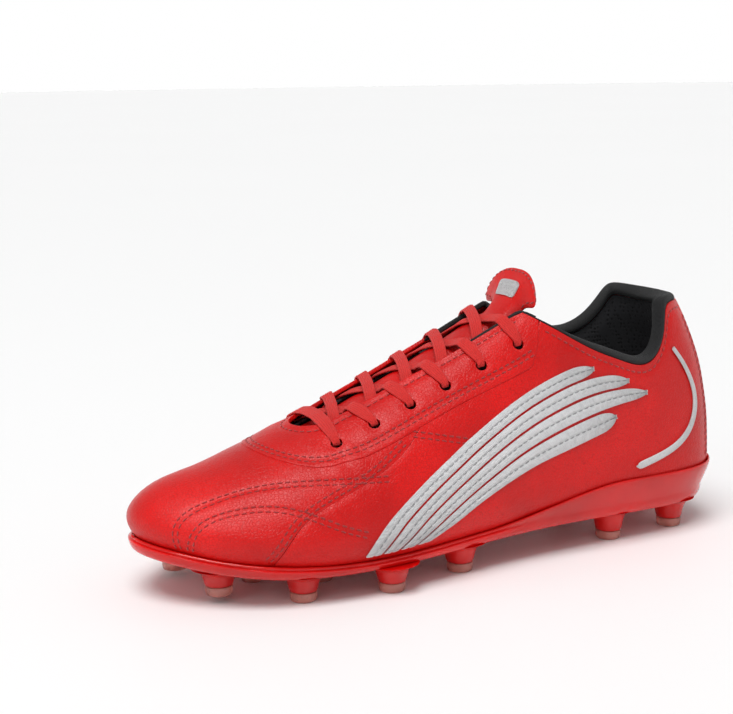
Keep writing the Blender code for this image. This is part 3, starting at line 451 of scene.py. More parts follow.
def seam_lines():
    """Every sewn line of the upper, as {name: (points, normals)}."""
    lines = {}
    for side, word in SIDES:
        for name, points in (("toe_outer", TOE_OUTER), ("toe_inner", TOE_INNER),
                             ("dart", QUARTER_DART)):
            lines[f"{name}_{word}"] = on_upper(run(points, 160), side)
        back = run([(238.0, 0.035)] + list(VAMP_BACK[1:]), 160)
        lines[f"vamp_back_{word}"] = on_upper(back, side)
        x = np.linspace(12.0, 103.0, 200)
        z = topline[side](x) - 3.2
        lines[f"topline_{word}"] = on_upper(np.stack([x, h_at_z(s_of(x, side), z)], 1), side)
        z = np.linspace(33, 100, 80)
        x = BACK_X + 0 * z
        lines[f"back_seam_{word}"] = on_upper(np.stack([x, h_at_z(s_of(x, side), z)], 1), side)
    throat, seam = facing_edges(120, 60)
    for name, share in (("facing_seam", 0.885), ("throat_edge", 0.17)):
        u = throat * (1 - share) + seam * share
        s, h = plan(u[6:-6, 0], u[6:-6, 1])
        lines[name] = raw(s, h), normal_at(s, h)
    return lines


class Grooves:
    """How far the leather is pulled in near the sewn lines."""

    def __init__(self, lines, depth):
        points = np.concatenate([p for p, _ in lines.values()])
        self.depth = depth
        self.tree = KDTree(len(points))
        for i, p in enumerate(points):
            self.tree.insert(p, i)
        self.tree.balance()

    def at(self, points):
        flat = points.reshape(-1, 3)
        d = np.array([self.tree.find(p)[2] for p in flat]).reshape(points.shape[:-1])
        return self.depth * (np.exp(-((d / 1.5) ** 2)) - 0.5 * (1 - np.exp(-((d / 7.0) ** 2))))


# ---- modelling helpers ----
def deselect():
    """Leaves edit mode with nothing selected."""
    if bpy.context.object and bpy.context.object.mode != "OBJECT":
        bpy.ops.object.mode_set(mode="OBJECT")
    bpy.ops.object.select_all(action="DESELECT")


def only(piece):
    """Makes one piece the selected and active one."""
    deselect()
    piece.select_set(True)
    bpy.context.view_layer.objects.active = piece


def named(piece, name):
    """Names a piece and its mesh."""
    piece.name = piece.data.name = name
    return piece


def grid_piece(name, points, core_z=38.0, outward=True):
    """A primitive grid laid on points[u, v], its faces turned from or to a core line at core_z."""
    deselect()
    nu, nv = points.shape[:2]
    bpy.ops.mesh.primitive_grid_add(x_subdivisions=nu - 1, y_subdivisions=nv - 1, size=2)
    piece = named(bpy.context.object, name)
    co = place(points).transpose(1, 0, 2)
    piece.data.vertices.foreach_set("co", co.astype(np.float32).ravel())
    piece.data.update()
    centre, normal = face_places(piece.data)
    heel_core, toe_core = place([[60, 0, 0], [215, 0, 0]])[:, 0]
    core = np.stack([np.clip(centre[:, 0], heel_core, toe_core), 0 * centre[:, 1],
                     np.full(len(centre), core_z / 1000)], 1)
    if (((centre - core) * normal).sum() > 0) != outward:
        edit(piece, bpy.ops.mesh.flip_normals)
    return piece


def face_places(mesh):
    """Centre and area-weighted normal of each face."""
    count = len(mesh.polygons)
    centre, normal, area = np.zeros(count * 3), np.zeros(count * 3), np.zeros(count)
    mesh.polygons.foreach_get("center", centre)
    mesh.polygons.foreach_get("normal", normal)
    mesh.polygons.foreach_get("area", area)
    return centre.reshape(-1, 3), normal.reshape(-1, 3) * area[:, None]


def edit(piece, *moves):
    """Runs edit-mode operators on the whole of a piece."""
    only(piece)
    bpy.ops.object.mode_set(mode="EDIT")
    bpy.ops.mesh.select_all(action="SELECT")
    for move in moves:
        move()
    bpy.ops.object.mode_set(mode="OBJECT")


def weld():
    """Merges vertices that lie on each other."""
    bpy.ops.mesh.remove_doubles(threshold=1e-5)


def face_out():
    """Turns the faces of a closed piece outwards."""
    bpy.ops.mesh.normals_make_consistent(inside=False)


def modify(piece, kind, **values):
    """Adds a modifier with these values and applies it."""
    only(piece)
    made = piece.modifiers.new(kind.title(), kind)
    for key, value in values.items():
        setattr(made, key, value)
    bpy.ops.object.modifier_apply(modifier=made.name)


def thicken(piece, thickness, edge=0.0):
    """Gives a sheet its thickness inwards, and rounds its cut edge."""
    modify(piece, "SOLIDIFY", thickness=thickness / 1000, offset=-1.0, use_quality_normals=True)
    if edge:
        modify(piece, "BEVEL", width=edge / 1000, segments=2, limit_method="ANGLE",
               angle_limit=math.radians(55), use_clamp_overlap=True)


def shade(piece, angle=50):
    """Smooth shading, with edges sharper than angle degrees kept."""
    only(piece)
    bpy.ops.object.shade_smooth_by_angle(angle=math.radians(angle))


def keep(piece, material, nodes=(), body="shoe"):
    """Gives a finished piece its material and its body, and hides the nodes that it stands for."""
    piece.data.materials.clear()
    piece.data.materials.append(material)
    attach(piece, body)
    if nodes:
        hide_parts(*nodes)


def copies(name, seed, places):
    """One mesh of copies of a seed, a copy at each (origin, x, y, z) in metres."""
    deselect()
    co = np.array([v.co for v in seed.data.vertices])
    faces = [tuple(p.vertices) for p in seed.data.polygons]
    origin, x, y, z = (np.array(column) for column in zip(*places))
    turned = (co[None, :, :1] * x[:, None] + co[None, :, 1:2] * y[:, None]
              + co[None, :, 2:] * z[:, None] + origin[:, None])
    step = len(co)
    every = [tuple(i + k * step for i in f) for k in range(len(places)) for f in faces]
    mesh = bpy.data.meshes.new(name)
    mesh.from_pydata(turned.reshape(-1, 3).tolist(), [], every)
    piece = bpy.data.objects.new(name, mesh)
    bpy.context.scene.collection.objects.link(piece)
    bpy.data.objects.remove(seed, do_unlink=True)
    edit(piece, face_out)
    shade(piece, 80)
    return piece


def band(name, path, width_dir, sizes, profile, uv_step=10.0):
    """A closed band along a path, from a grid; profile holds (across, through) half sizes."""
    tangent = unit(np.gradient(path, axis=0))
    w = unit(width_dir - tangent * (width_dir * tangent).sum(1, keepdims=True))
    n = np.cross(tangent, w)
    across, thick = np.array(profile).T
    loop = (path[:, None] + w[:, None] * (across[None, :, None] * sizes[:, :1, None] / 2)
            + n[:, None] * (thick[None, :, None] * sizes[:, 1:2, None] / 2))
    loop = np.concatenate([loop, loop[:, :1]], 1)
    piece = grid_piece(name, loop)
    stretch_uv(piece, distances(path)[-1] / uv_step, 1.0)
    edit(piece, weld, close_ends, face_out)
    return piece


def close_ends():
    """Fills the open rings of the piece in edit mode."""
    bpy.ops.mesh.select_all(action="DESELECT")
    bpy.ops.mesh.select_non_manifold()
    bpy.ops.mesh.fill_holes(sides=0)
    bpy.ops.mesh.select_all(action="SELECT")


def joined(name, pieces):
    """Several pieces as one."""
    deselect()
    for piece in pieces:
        piece.select_set(True)
    bpy.context.view_layer.objects.active = pieces[0]
    bpy.ops.object.join()
    return named(bpy.context.object, name)


def stretch_uv(piece, along, across):
    """Turns a grid's unit UV map into one of even scale."""
    uv = np.zeros(len(piece.data.loops) * 2, np.float32)
    layer = piece.data.uv_layers[0].data
    layer.foreach_get("uv", uv)
    layer.foreach_set("uv", (uv.reshape(-1, 2) * (along, across)).astype(np.float32).ravel())


def turned(name, profile, segments, centre=None, cap=True):
    """A round piece raised ring by ring from (radius, z) points, on a vertical axis."""
    deselect()
    r0, z0 = profile[0]
    x, y = (0.0, 0.0) if centre is None else place([*centre, 0.0])[:2]
    bpy.ops.mesh.primitive_circle_add(vertices=segments, radius=r0 / 1000, fill_type="NOTHING",
                                      location=(0, 0, 0))
    piece = named(bpy.context.object, name)
    piece.data.transform(Matrix.Translation((x, y, z0 / 1000)))
    bpy.ops.object.mode_set(mode="EDIT")
    bpy.ops.mesh.select_all(action="SELECT")
    for (r_last, z_last), (r, z) in zip(profile, profile[1:]):
        bpy.ops.mesh.extrude_edges_move(TRANSFORM_OT_translate={"value": (0, 0, (z - z_last) / 1000)})
        if r > 0.01:
            k = r / r_last
            bpy.ops.transform.resize(value=(k, k, 1), center_override=(x, y, z / 1000))
        else:
            bpy.ops.mesh.merge(type="CENTER")
    if cap:
        close_ends()
    bpy.ops.mesh.select_all(action="SELECT")
    bpy.ops.mesh.remove_doubles(threshold=1e-6)
    bpy.ops.mesh.normals_make_consistent(inside=False)
    bpy.ops.object.mode_set(mode="OBJECT")
    return piece


# ---- materials ----
class Look:
    """A material being made: short calls for its nodes and links."""

    def __init__(self, name, colour, roughness, **sockets):
        self.material = bpy.data.materials.new(name)
        self.material.use_nodes = True
        self.material.diffuse_color = (*colour[:3], 1)
        self.tree = self.material.node_tree
        self.shader = self.tree.nodes["Principled BSDF"]
        self.set("Base Color", (*colour[:3], 1))
        self.set("Roughness", roughness)
        for key, value in sockets.items():
            self.set(key.replace("_", " "), value)

    def set(self, socket, value):
        self.shader.inputs[socket].default_value = value

    def node(self, kind, settings=None, **inputs):
        made = self.tree.nodes.new("ShaderNode" + kind)
        for key, value in (settings or {}).items():
            setattr(made, key, value)
        for key, value in inputs.items():
            number = key[1:].isdigit()
            socket = made.inputs[int(key[1:]) if number else key.replace("_", " ")]
            self.feed(value, socket)
        return made

    def feed(self, value, socket):
        if isinstance(value, bpy.types.NodeSocket):
            self.tree.links.new(value, socket)
        else:
            socket.default_value = value

    def on_object(self):
        return self.node("TexCoord").outputs["Object"]

    def on_uv(self):
        return self.node("UVMap").outputs["UV"]

    def scaled(self, vector, scale, turn=(0, 0, 0)):
        return self.node("Mapping", Vector=vector, Scale=scale, Rotation=turn).outputs["Vector"]

    def noise(self, vector, scale, detail=3.0, distortion=0.0):
        return self.node("TexNoise", Vector=vector, Scale=scale, Detail=detail,
                         Distortion=distortion).outputs["Fac"]

    def cells(self, vector, scale, feature="DISTANCE_TO_EDGE", randomness=1.0):
        return self.node("TexVoronoi", {"feature": feature}, Vector=vector, Scale=scale,
                         Randomness=randomness).outputs["Distance"]

    def wave(self, vector, scale, distortion=0.0, direction="X"):
        return self.node("TexWave", {"bands_direction": direction}, Vector=vector, Scale=scale,
                         Distortion=distortion).outputs["Fac"]

    def calc(self, operation, a, b=0.0, c=None):
        values = {"_0": a, "_1": b}
        if c is not None:
            values["_2"] = c
        return self.node("Math", {"operation": operation}, **values).outputs[0]

    def between(self, value, low, high, to_low=0.0, to_high=1.0):
        return self.node("MapRange", Value=value, From_Min=low, From_Max=high, To_Min=to_low,
                         To_Max=to_high).outputs["Result"]

    def tint(self, fac, a, b):
        """Colour a where fac is 0, b where it is 1."""
        return self.node("Mix", {"data_type": "RGBA"}, _0=fac, _6=(*a[:3], 1),
                         _7=(*b[:3], 1)).outputs[2]

    def blend(self, fac, a, b):
        return self.node("Mix", {"data_type": "RGBA"}, _0=fac, _6=a, _7=b).outputs[2]

    def colour(self, socket):
        self.tree.links.new(socket, self.shader.inputs["Base Color"])

    def roughness(self, socket):
        self.tree.links.new(socket, self.shader.inputs["Roughness"])

    def bump(self, *layers):
        """Stacks (height, distance in metres) layers on the shader's normal."""
        normal = None
        for height, distance in layers:
            values = {"Normal": normal} if normal else {}
            normal = self.node("Bump", Height=height, Distance=distance, Strength=1.0,
                               **values).outputs["Normal"]
        self.tree.links.new(normal, self.shader.inputs["Normal"])
        return self.material


def shades(colour, dark, light):
    """A darker and a lighter copy of a colour."""
    return tuple(c * dark for c in colour[:3]), tuple(min(c * light, 1.0) for c in colour[:3])


def red_leather(colour):
    """Semi-gloss leather: pebbles with fine valleys darkened by painted shade, pores, and slow changes
    of tone.
    """
    look = Look("red_leather", colour, 0.36, Specular_IOR_Level=0.28, Coat_Weight=0.06,
                Coat_Roughness=0.22)
    at = look.on_object()
    warp = look.node("Mix", {"data_type": "VECTOR"}, _0=0.0012, _4=at,
                     _5=look.node("TexNoise", Vector=at, Scale=180.0).outputs["Color"]).outputs[1]
    pebble = look.between(look.cells(warp, 780.0), 0.0, 0.16)
    fine = look.noise(at, 2600.0, 2.0)
    wrinkle = look.noise(look.scaled(at, (1.0, 0.7, 1.0)), 150.0, 5.0, 1.2)
    tone = look.noise(at, 28.0, 4.0)
    dark, light = shades(colour, 0.80, 1.12)
    body = look.tint(look.between(tone, 0.35, 0.65), dark, light)
    # painted shade: the pebble valleys, where the bump sinks, are darkened to 0.8 of the leather
    # colour
    valley_painted_shade = look.blend(look.between(pebble, 0.0, 0.6), tuple(c * 0.80 for c in colour[:3]) + (1,),
                        body)
    look.colour(valley_painted_shade)
    look.roughness(look.between(look.calc("ADD", tone, look.calc("MULTIPLY", fine, 0.5)), 0.5,
                                1.0, 0.30, 0.44))
    return look.bump((wrinkle, 0.00026), (pebble, 0.00007), (fine, 0.00002))


def moulded_plate(colour):
    """Glossy, faintly see-through moulded plastic."""
    look = Look("moulded_plate", colour, 0.12, Specular_IOR_Level=0.4, Coat_Weight=0.15,
                Coat_Roughness=0.06, Subsurface_Weight=0.35, Subsurface_Scale=0.004, IOR=1.5)
    look.set("Subsurface Radius", (1.0, 0.12, 0.08))
    at = look.on_object()
    tone = look.noise(at, 22.0, 3.0)
    dark, light = shades(colour, 0.82, 1.2)
    look.colour(look.tint(look.between(tone, 0.35, 0.68), dark, light))
    scuff = look.noise(look.scaled(at, (1.0, 5.0, 3.0)), 160.0, 5.0)
    look.roughness(look.between(scuff, 0.45, 0.75, 0.07, 0.22))
    return look.bump((look.noise(at, 120.0, 2.0), 0.00008), (look.noise(at, 900.0, 2.0), 0.000008))


def stud_tip_look(colour):
    """Pale clear moulding with faint flecks inside."""
    look = Look("stud_tip", colour, 0.12, Transmission_Weight=0.6, IOR=1.46, Coat_Weight=0.3)
    at = look.on_object()
    fleck = look.between(look.cells(at, 520.0, "F1"), 0.08, 0.22)
    haze = look.noise(at, 90.0, 3.0)
    dark, light = shades(colour, 0.78, 1.12)
    body = look.tint(look.between(haze, 0.35, 0.7), light, dark)
    look.colour(look.blend(fleck, (0.5, 0.26, 0.2, 1), body))
    look.roughness(look.between(haze, 0.3, 0.7, 0.08, 0.26))
    return look.bump((haze, 0.00006), (look.noise(at, 1500.0, 2.0), 0.000008))


def satin_stitch(name, colour):
    """Close rows of glossy embroidery thread, laid across the piece, with painted shade between the
    threads and tone from row to row.
    """
    look = Look(name, colour, 0.34, Sheen_Weight=0.35, Sheen_Roughness=0.4, Anisotropic=0.4)
    uv = look.on_uv()
    wobble = look.noise(look.scaled(uv, (0.6, 3.0, 1.0)), 5.0, 3.0)
    shifted_uv = look.node("VectorMath", {"operation": "ADD"}, _0=uv,
                           _1=look.node("CombineXYZ", X=look.calc("MULTIPLY", wobble, 0.10)).outputs[0]
                           ).outputs[0]
    thread = look.wave(shifted_uv, 7.0, 0.6)
    rows = look.wave(shifted_uv, 0.85, 2.0)
    stripe = look.noise(look.scaled(uv, (9.0, 0.7, 1.0)), 3.0, 4.0)
    dark, light = shades(colour, 0.72, 1.14)
    # painted shade: the thread wave, also the bump's height, makes the thread crowns lighter and the
    # hollows between threads darker; the stripe noise is random tone
    tone = look.calc("ADD", look.calc("MULTIPLY", thread, 0.5), look.calc("MULTIPLY", stripe, 0.7))
    look.colour(look.tint(look.between(tone, 0.25, 0.85), dark, light))
    look.roughness(look.between(stripe, 0.3, 0.7, 0.26, 0.48))
    return look.bump((rows, 0.00018), (thread, 0.00022), (stripe, 0.00012))


def woven_lace(colour):
    """Flat braid: rows of slanting picks between ribs, slightly fuzzy, with painted shade between the
    picks.
    """
    look = Look("woven_lace", colour, 0.62, Sheen_Weight=0.08, Sheen_Roughness=0.5)
    uv = look.on_uv()
    left = look.wave(look.scaled(uv, (1.0, 1.0, 1.0), (0, 0, 0.35)), 6.0)
    right = look.wave(look.scaled(uv, (1.0, 1.0, 1.0), (0, 0, -0.35)), 6.0)
    picks = look.calc("MAXIMUM", left, right)
    fuzz = look.noise(look.on_object(), 2400.0, 3.0)
    dark, light = shades(colour, 0.66, 1.15)
    # painted shade: the picks, also the bump's height, make the colour darker in the hollows between
    # picks; the fuzz noise is random tone
    tone = look.calc("ADD", look.calc("MULTIPLY", picks, 0.7), look.calc("MULTIPLY", fuzz, 0.4))
    look.colour(look.tint(look.between(tone, 0.3, 0.95), dark, light))
    look.roughness(look.between(fuzz, 0.3, 0.7, 0.6, 0.85))
    return look.bump((picks, 0.00016), (fuzz, 0.00005))


def sewing_thread(name, colour):
    """Twisted thread with a little fuzz, and painted shade in the grooves of its twist."""
    look = Look(name, colour, 0.5, Sheen_Weight=0.3)
    at = look.on_object()
    twist_and_shade = look.wave(look.scaled(at, (1.0, 1.0, 1.0), (0.4, 0.5, 0.8)), 700.0)
    fuzz = look.noise(at, 3000.0, 2.0)
    dark, light = shades(colour, 0.6, 1.15)
    # painted shade: the twist wave, also the bump's height, darkens the colour in the grooves of the
    # twist
    look.colour(look.tint(look.calc("ADD", look.calc("MULTIPLY", twist_and_shade, 0.6),
                                    look.calc("MULTIPLY", fuzz, 0.4)), dark, light))
    return look.bump((twist_and_shade, 0.00006), (fuzz, 0.00003))


def spacer_mesh(colour):
    """Black knitted mesh: rows of small open cells over a darker ground, the dark inside the cells
    being painted shade.
    """
    look = Look("spacer_mesh", colour, 0.8, Sheen_Weight=0.06, Sheen_Roughness=0.45)
    at = look.on_object()
    holes = look.between(look.cells(look.scaled(at, (1.0, 1.0, 0.8)), 620.0, "F1", 0.35), 0.12, 0.42)
    yarn = look.noise(at, 2200.0, 3.0)
    soil = look.noise(at, 40.0, 3.0)
    # painted shade: the open cells are coloured a darker ground at 0.3 of the black, the yarn between
    # them lighter
    tone = look.calc("MULTIPLY", holes, look.between(yarn, 0.25, 0.75, 0.6, 1.0))
    ground, thread = shades(colour, 0.30, 3.4)
    look.colour(look.tint(tone, ground, thread))
    look.roughness(look.between(soil, 0.3, 0.7, 0.78, 0.95))
    return look.bump((soil, 0.0003), (holes, 0.00028), (yarn, 0.00006))


def knit_binding(colour):
    """Black rolled textile edge: fine slanting ribs, with painted shade between them."""
    look = Look("knit_binding", colour, 0.7, Sheen_Weight=0.06, Sheen_Roughness=0.4)
    uv = look.on_uv()
    ribs = look.wave(look.scaled(uv, (1.0, 1.0, 1.0), (0, 0, 0.2)), 5.0, 0.4)
    yarn = look.noise(look.on_object(), 2300.0, 3.0)
    ground, thread = shades(colour, 0.5, 2.2)
    # painted shade: the ribs, also the bump's height, darken the colour between ribs; the yarn noise
    # is random tone
    look.colour(look.tint(look.calc("MULTIPLY", ribs, yarn), ground, thread))
    look.roughness(look.between(yarn, 0.3, 0.7, 0.65, 0.9))
    return look.bump((ribs, 0.00018), (yarn, 0.00008))


def inner_stock(name, colour, roughness, scale, stretch=(1.0, 1.0, 1.0), depth=0.0002):
    """Foam, board or stiffener: a mottled, pored surface, with painted shade in the pores."""
    look = Look(name, colour, roughness)
    at = look.scaled(look.on_object(), stretch)
    pores = look.cells(at, scale, "F1")
    mottle = look.noise(at, scale * 0.3, 4.0)
    dark, light = shades(colour, 0.6, 1.1)
    # painted shade: the pores, also pits in the bump, darken the colour towards their middles; the
    # mottle is random tone
    look.colour(look.tint(look.calc("ADD", look.calc("MULTIPLY", pores, 0.6),
                                    look.calc("MULTIPLY", mottle, 0.6)), dark, light))
    look.roughness(look.between(mottle, 0.3, 0.7, roughness * 0.85, min(roughness * 1.1, 1.0)))
    return look.bump((mottle, depth), (pores, depth))


def floor_paper(colour):
    """Matt seamless paper with faint clouds of tone."""
    look = Look("pale_floor", colour, 0.55, Specular_IOR_Level=0.25)
    at = look.on_object()
    cloud = look.noise(at, 1.5, 3.0)
    dark, light = shades(colour, 0.985, 1.0)
    look.colour(look.tint(cloud, dark, light))
    return look.bump((look.noise(at, 900.0, 2.0), 0.00001))


# ---- what a user can change ----
def size(name, value, about):
    """A length in metres, given here in millimetres."""
    return bpy.props.FloatProperty(name=name, description=about, default=value / 1000,
                                   unit="LENGTH", precision=5)


def tone(name, value, about):
    """A colour, as linear red, green and blue."""
    return bpy.props.FloatVectorProperty(name=name, description=about, default=value,
                                         subtype="COLOR", size=3, min=0, max=1)


class CleatSizes(bpy.types.PropertyGroup):
    """Sizes of the details that are added to the frame."""

    leather: size("Leather", LEATHER, "Thickness of the upper's leather")
    turned_edge: size("Turned edge", 0.45, "Rounding of a panel's cut edge")
    groove: size("Seam groove", 0.42, "How far sewing pulls the leather in")
    swell: size("Leather swell", 0.13, "Height of the leather's slow swells and creases")
    stitch_pitch: size("Stitch pitch", 3.1, "Distance from one stitch to the next")
    stitch_length: size("Stitch length", 2.3, "Length of thread that shows")
    thread: size("Thread radius", 0.33, "Radius of the sewing thread")
    row_gap: size("Row gap", 2.3, "Distance between the two rows of a double seam")
    lace_ribs: bpy.props.IntProperty(name="Lace ribs", description="Ribs across the flat lace",
                                     default=5, min=1, max=9)
    grip_pitch: size("Grip pitch", 2.7, "Distance between the grip dots of the sole")
    grip_height: size("Grip height", 0.75, "Height of a grip dot")


class CleatColours(bpy.types.PropertyGroup):
    """Colours of the materials."""

    leather: tone("Leather", (0.62, 0.0035, 0.0028), "Upper, facing and tongue")
    thread: tone("Seam thread", (0.36, 0.002, 0.002), "Sewing on the red leather")
    plate: tone("Sole plate", (0.56, 0.004, 0.0035), "Moulded plate and studs")
    tips: tone("Stud tips", (0.78, 0.30, 0.24), "Clear ends of the studs")
    white: tone("White bands", (0.80, 0.80, 0.81), "Stitched bands and badge")
    black: tone("Black textile", (0.006, 0.006, 0.007), "Lining, collar and footbed")
    lace: tone("Lace", (0.72, 0.014, 0.010), "Flat lace")


def mm(name):
    """A size that the user set, in millimetres."""
    return getattr(bpy.context.scene.cleat_sizes, name) * 1000


def hue(name):
    """A colour that the user set."""
    return tuple(getattr(bpy.context.scene.cleat_colours, name))


_finishes = {}


def finish(name):
    """A material by its name, made once."""
    makers = {
        "leather": lambda: red_leather(hue("leather")),
        "plate": lambda: moulded_plate(hue("plate")),
        "tip": lambda: stud_tip_look(hue("tips")),
        "satin": lambda: satin_stitch("white_satin", hue("white")),
        "badge": lambda: satin_stitch("badge_satin", hue("white")),
        "lace": lambda: woven_lace(hue("lace")),
        "red_thread": lambda: sewing_thread("red_thread", hue("thread")),
        "grey_thread": lambda: sewing_thread("grey_thread", (0.33, 0.33, 0.34)),
        "mesh": lambda: spacer_mesh(hue("black")),
        "binding": lambda: knit_binding(hue("black")),
        "footbed": lambda: inner_stock("brushed_footbed", (0.02, 0.02, 0.022), 0.85, 1400.0),
        "stiffener": lambda: inner_stock("stiffener_sheet", (0.6, 0.58, 0.54), 0.7, 900.0),
        "board": lambda: inner_stock("fibre_board", (0.5, 0.42, 0.3), 0.85, 600.0, (1, 6, 1)),
        "lace_tip": lambda: inner_stock("lace_tip_film", hue("plate"), 0.25, 300.0, depth=0.00002),
    }
    if name not in _finishes:
        _finishes[name] = makers[name]()
    return _finishes[name]


_lines = {}


def sewn_lines():
    """The sewn lines, worked out once."""
    if not _lines:
        _lines.update(seam_lines())
    return _lines


_grooves = []


def leather_points(s, h, depth, sewn=True):
    """Points of the leather's face with its swells, creases and seam grooves."""
    if not _grooves:
        _grooves.append(Grooves(sewn_lines(), mm("groove")))
    p = skin(s, h, depth)
    lift = ripple(p, mm("swell")) * smooth((np.asarray(p)[..., 2] - 16) / 10)
    if sewn:
        lift = lift - _grooves[0].at(skin(s, h, 0.0))
    return p + normal_at(s, h) * lift[..., None]


def panel(name, *patches, smooth_pole=False):
    """A leather panel: patches laid on the last, welded, thickened inwards, edges turned."""
    parts = [grid_piece(f"{name}_{k}", leather_points(s, h, 0.0))
             for k, (s, h) in enumerate(patches)]
    piece = joined(name, parts)
    edit(piece, weld)
    if smooth_pole:
        relax_toe(piece)
    thicken(piece, mm("leather"), mm("turned_edge"))
    shade(piece)
    return piece


def relax_toe(piece):
    """Evens out the fan of narrow faces that meet at the toe."""
    tip = Vector(place(raw(TOE_S, 0.55)))
    for reach, times in ((0.022, 14), (0.011, 20)):
        only(piece)
        bpy.ops.object.mode_set(mode="EDIT")
        bpy.ops.mesh.select_all(action="DESELECT")
        bpy.ops.object.mode_set(mode="OBJECT")
        for v in piece.data.vertices:
            v.select = abs(v.co.x - tip.x) < reach and not near_edge(v.co)
        bpy.ops.object.mode_set(mode="EDIT")
        bpy.ops.mesh.select_mode(type="VERT")
        bpy.ops.mesh.vertices_smooth(factor=0.5, repeat=times)
        bpy.ops.object.mode_set(mode="OBJECT")


def near_edge(co):
    """Whether a vertex lies on the sole edge."""
    x = (co.x - SHIFT[0]) * 1000
    return co.z * 1000 < float(base_z(min(x, END))) + 1.2


# ---- pieces ----
class CLEAT_OT_leather(bpy.types.Operator):
    """Vamp, quarters and backstay"""

    bl_idname = "cleat.leather"
    bl_label = "Leather panels"

    def execute(self, context):
        patches = [over_toe(vamp_edge(1), vamp_edge(-1), 110)]
        for side in (1, -1):
            x = np.linspace(WING_X, CORNER_X + 0.5, 40)
            patches.append(side_patch(*wing_edges(side, x), WING_LEVELS, side))
        vamp = panel("vamp_leather", *patches, smooth_pole=True)
        keep(vamp, finish("leather"), ["vamp"])
        for side, word in SIDES:
            keep(self.quarter(side, word), finish("leather"), [f"quarter_{word}"])
        sv = np.linspace(s_of(BACK_X, 1), s_of(BACK_X, -1) - 1, 44)
        s, h = rise_grid(sv, base_z(outline(sv)[:, 0]), top_of(sv), np.linspace(0, 1, 90))
        h[:, 0] = 0.0
        keep(panel("backstay_leather", (s, h)), finish("leather"), ["backstay"])
        return {"FINISHED"}

    def quarter(self, side, word):
        """Side panel from the vamp's edge, under the facing, to the back seam."""
        corner = seam_xh(np.array([CORNER_X]), side)
        tip = run(np.concatenate([np.array(VAMP_BACK) - (0.12, 0), corner]), 56)
        tip[0, 1] = 0.012
        seam = seam_xh(np.linspace(CORNER_X, 113.0, 34), side)[1:]
        rise = np.stack([np.linspace(113.0, 104.1, 7)[1:-1], 0 * np.arange(5.0)], 1)
        rear_x = np.linspace(104.1, BACK_X + 0.4, 90)
        rear = np.stack([rear_x, h_at_z(s_of(rear_x, side), topline[side](rear_x))], 1)
        share = np.linspace(0, 1, 7)[1:-1]
        rise[:, 1] = seam[-1, 1] * (1 - share) + rear[0, 1] * share
        high = np.concatenate([tip, seam, rise, rear])
        low_x = np.concatenate([np.linspace(237.0, 170.0, len(tip)),
                                np.linspace(170.0, 113.0, len(seam) + 1)[1:], rise[:, 0], rear_x])
        low = np.stack([low_x, 0 * low_x], 1)
        s, h = side_patch(low, high, np.linspace(0, 1, 64), side)
        return panel(f"quarter_{word}_leather", (s, h))


class CLEAT_OT_facing(bpy.types.Operator):
    """Lacing facing with its eyelet holes"""

    bl_idname = "cleat.facing"
    bl_label = "Lacing facing"

    def execute(self, context):
        throat, seam = facing_edges(90, 60)
        columns, corner_rows = 34, 8
        v = np.linspace(0.0, 1.035, columns)[None, :, None]
        grid = throat[:, None, :] * (1 - v) + seam[:, None, :] * v
        fade = (1 - np.arange(corner_rows) / corner_rows) ** 2
        for rows, side in ((range(corner_rows), 1), (range(-1, -1 - corner_rows, -1), -1)):
            target = on_topline(np.linspace(110.0, TOP_X, columns), side)
            gap = target - grid[rows[0]]
            for share, i in zip(fade, rows):
                grid[i] += gap * share
        s, h = plan(grid[..., 0], grid[..., 1])
        points = leather_points(s, h, -0.35)
        for _, _, hole in self.holes():
            d = np.linalg.norm(points - hole, axis=-1)
            points -= normal_at(s, h) * (0.45 * np.exp(-(((d - 2.4) / 1.6) ** 2)))[..., None]
        facing = grid_piece("facing_leather", points)
        thicken(facing, 1.7, mm("turned_edge"))
        self.punch(facing)
        shade(facing)
        keep(facing, finish("leather"), ["eyestay"])
        return {"FINISHED"}

    def holes(self):
        """Station, plan place across and surface point of every eyelet."""
        spots = [(x, float(ridge_y(x)) + side * EYELET_Y) for x in EYELETS_X for side in (1, -1)]
        return [(x, y, over(x, y, 0.0)) for x, y in spots]

    def punch(self, facing):
        """Cuts every eyelet with one joined cutter."""
        pins = []
        for x, y, _ in self.holes():
            a, b = Vector(place(over(x, y, -4.0))), Vector(place(over(x, y, 6.0)))
            deselect()
            bpy.ops.mesh.primitive_cylinder_add(vertices=20, radius=EYELET_R / 1000,
                                                depth=(b - a).length, location=(a + b) / 2,
                                                rotation=(b - a).to_track_quat("Z", "Y").to_euler())
            pins.append(bpy.context.object)
        cutter = joined("eyelet_cutter", pins)
        modify(facing, "BOOLEAN", operation="DIFFERENCE", solver="EXACT", object=cutter)
        bpy.data.objects.remove(cutter, do_unlink=True)


FAN_LOW = ((169.0, 0.045), (147.0, 0.100), (117.0, 0.132), (85.0, 0.143), (52.0, 0.165))
FAN_HIGH = ((200.0, 0.045), (187.0, 0.200), (150.0, 0.335), (100.0, 0.370), (56.0, 0.270))
FINGERS = ((0.0, 0.226, 0.86), (0.262, 0.482, 1.0), (0.518, 0.738, 0.94), (0.774, 1.0, 0.84))
HEEL_LINE = ((33, 87), (26.5, 77), (23.0, 64), (27.0, 51), (39.0, 42), (60.0, 36))


def finger_edges(share_low, share_high, reach, count=110):
    """(x, h) along both edges of a band finger, its far end rounded off."""
    fine = reach * (1 - (1 - np.linspace(0, 1, count)) ** 1.6)
    low_e, high_e = (cubic(np.linspace(0, 1, 5), e)(fine) for e in (FAN_LOW, FAN_HIGH))
    span = high_e - low_e
    narrow = np.sqrt(np.clip(1 - (np.clip(fine / reach - 0.93, 0, 1) / 0.07) ** 2, 0.0009, 1))
    mid, half_share = (share_low + share_high) / 2, (share_high - share_low) / 2
    share = np.stack([mid - half_share * narrow, mid + half_share * narrow], 1)
    return low_e + span * share[:, :1], low_e + span * share[:, 1:]


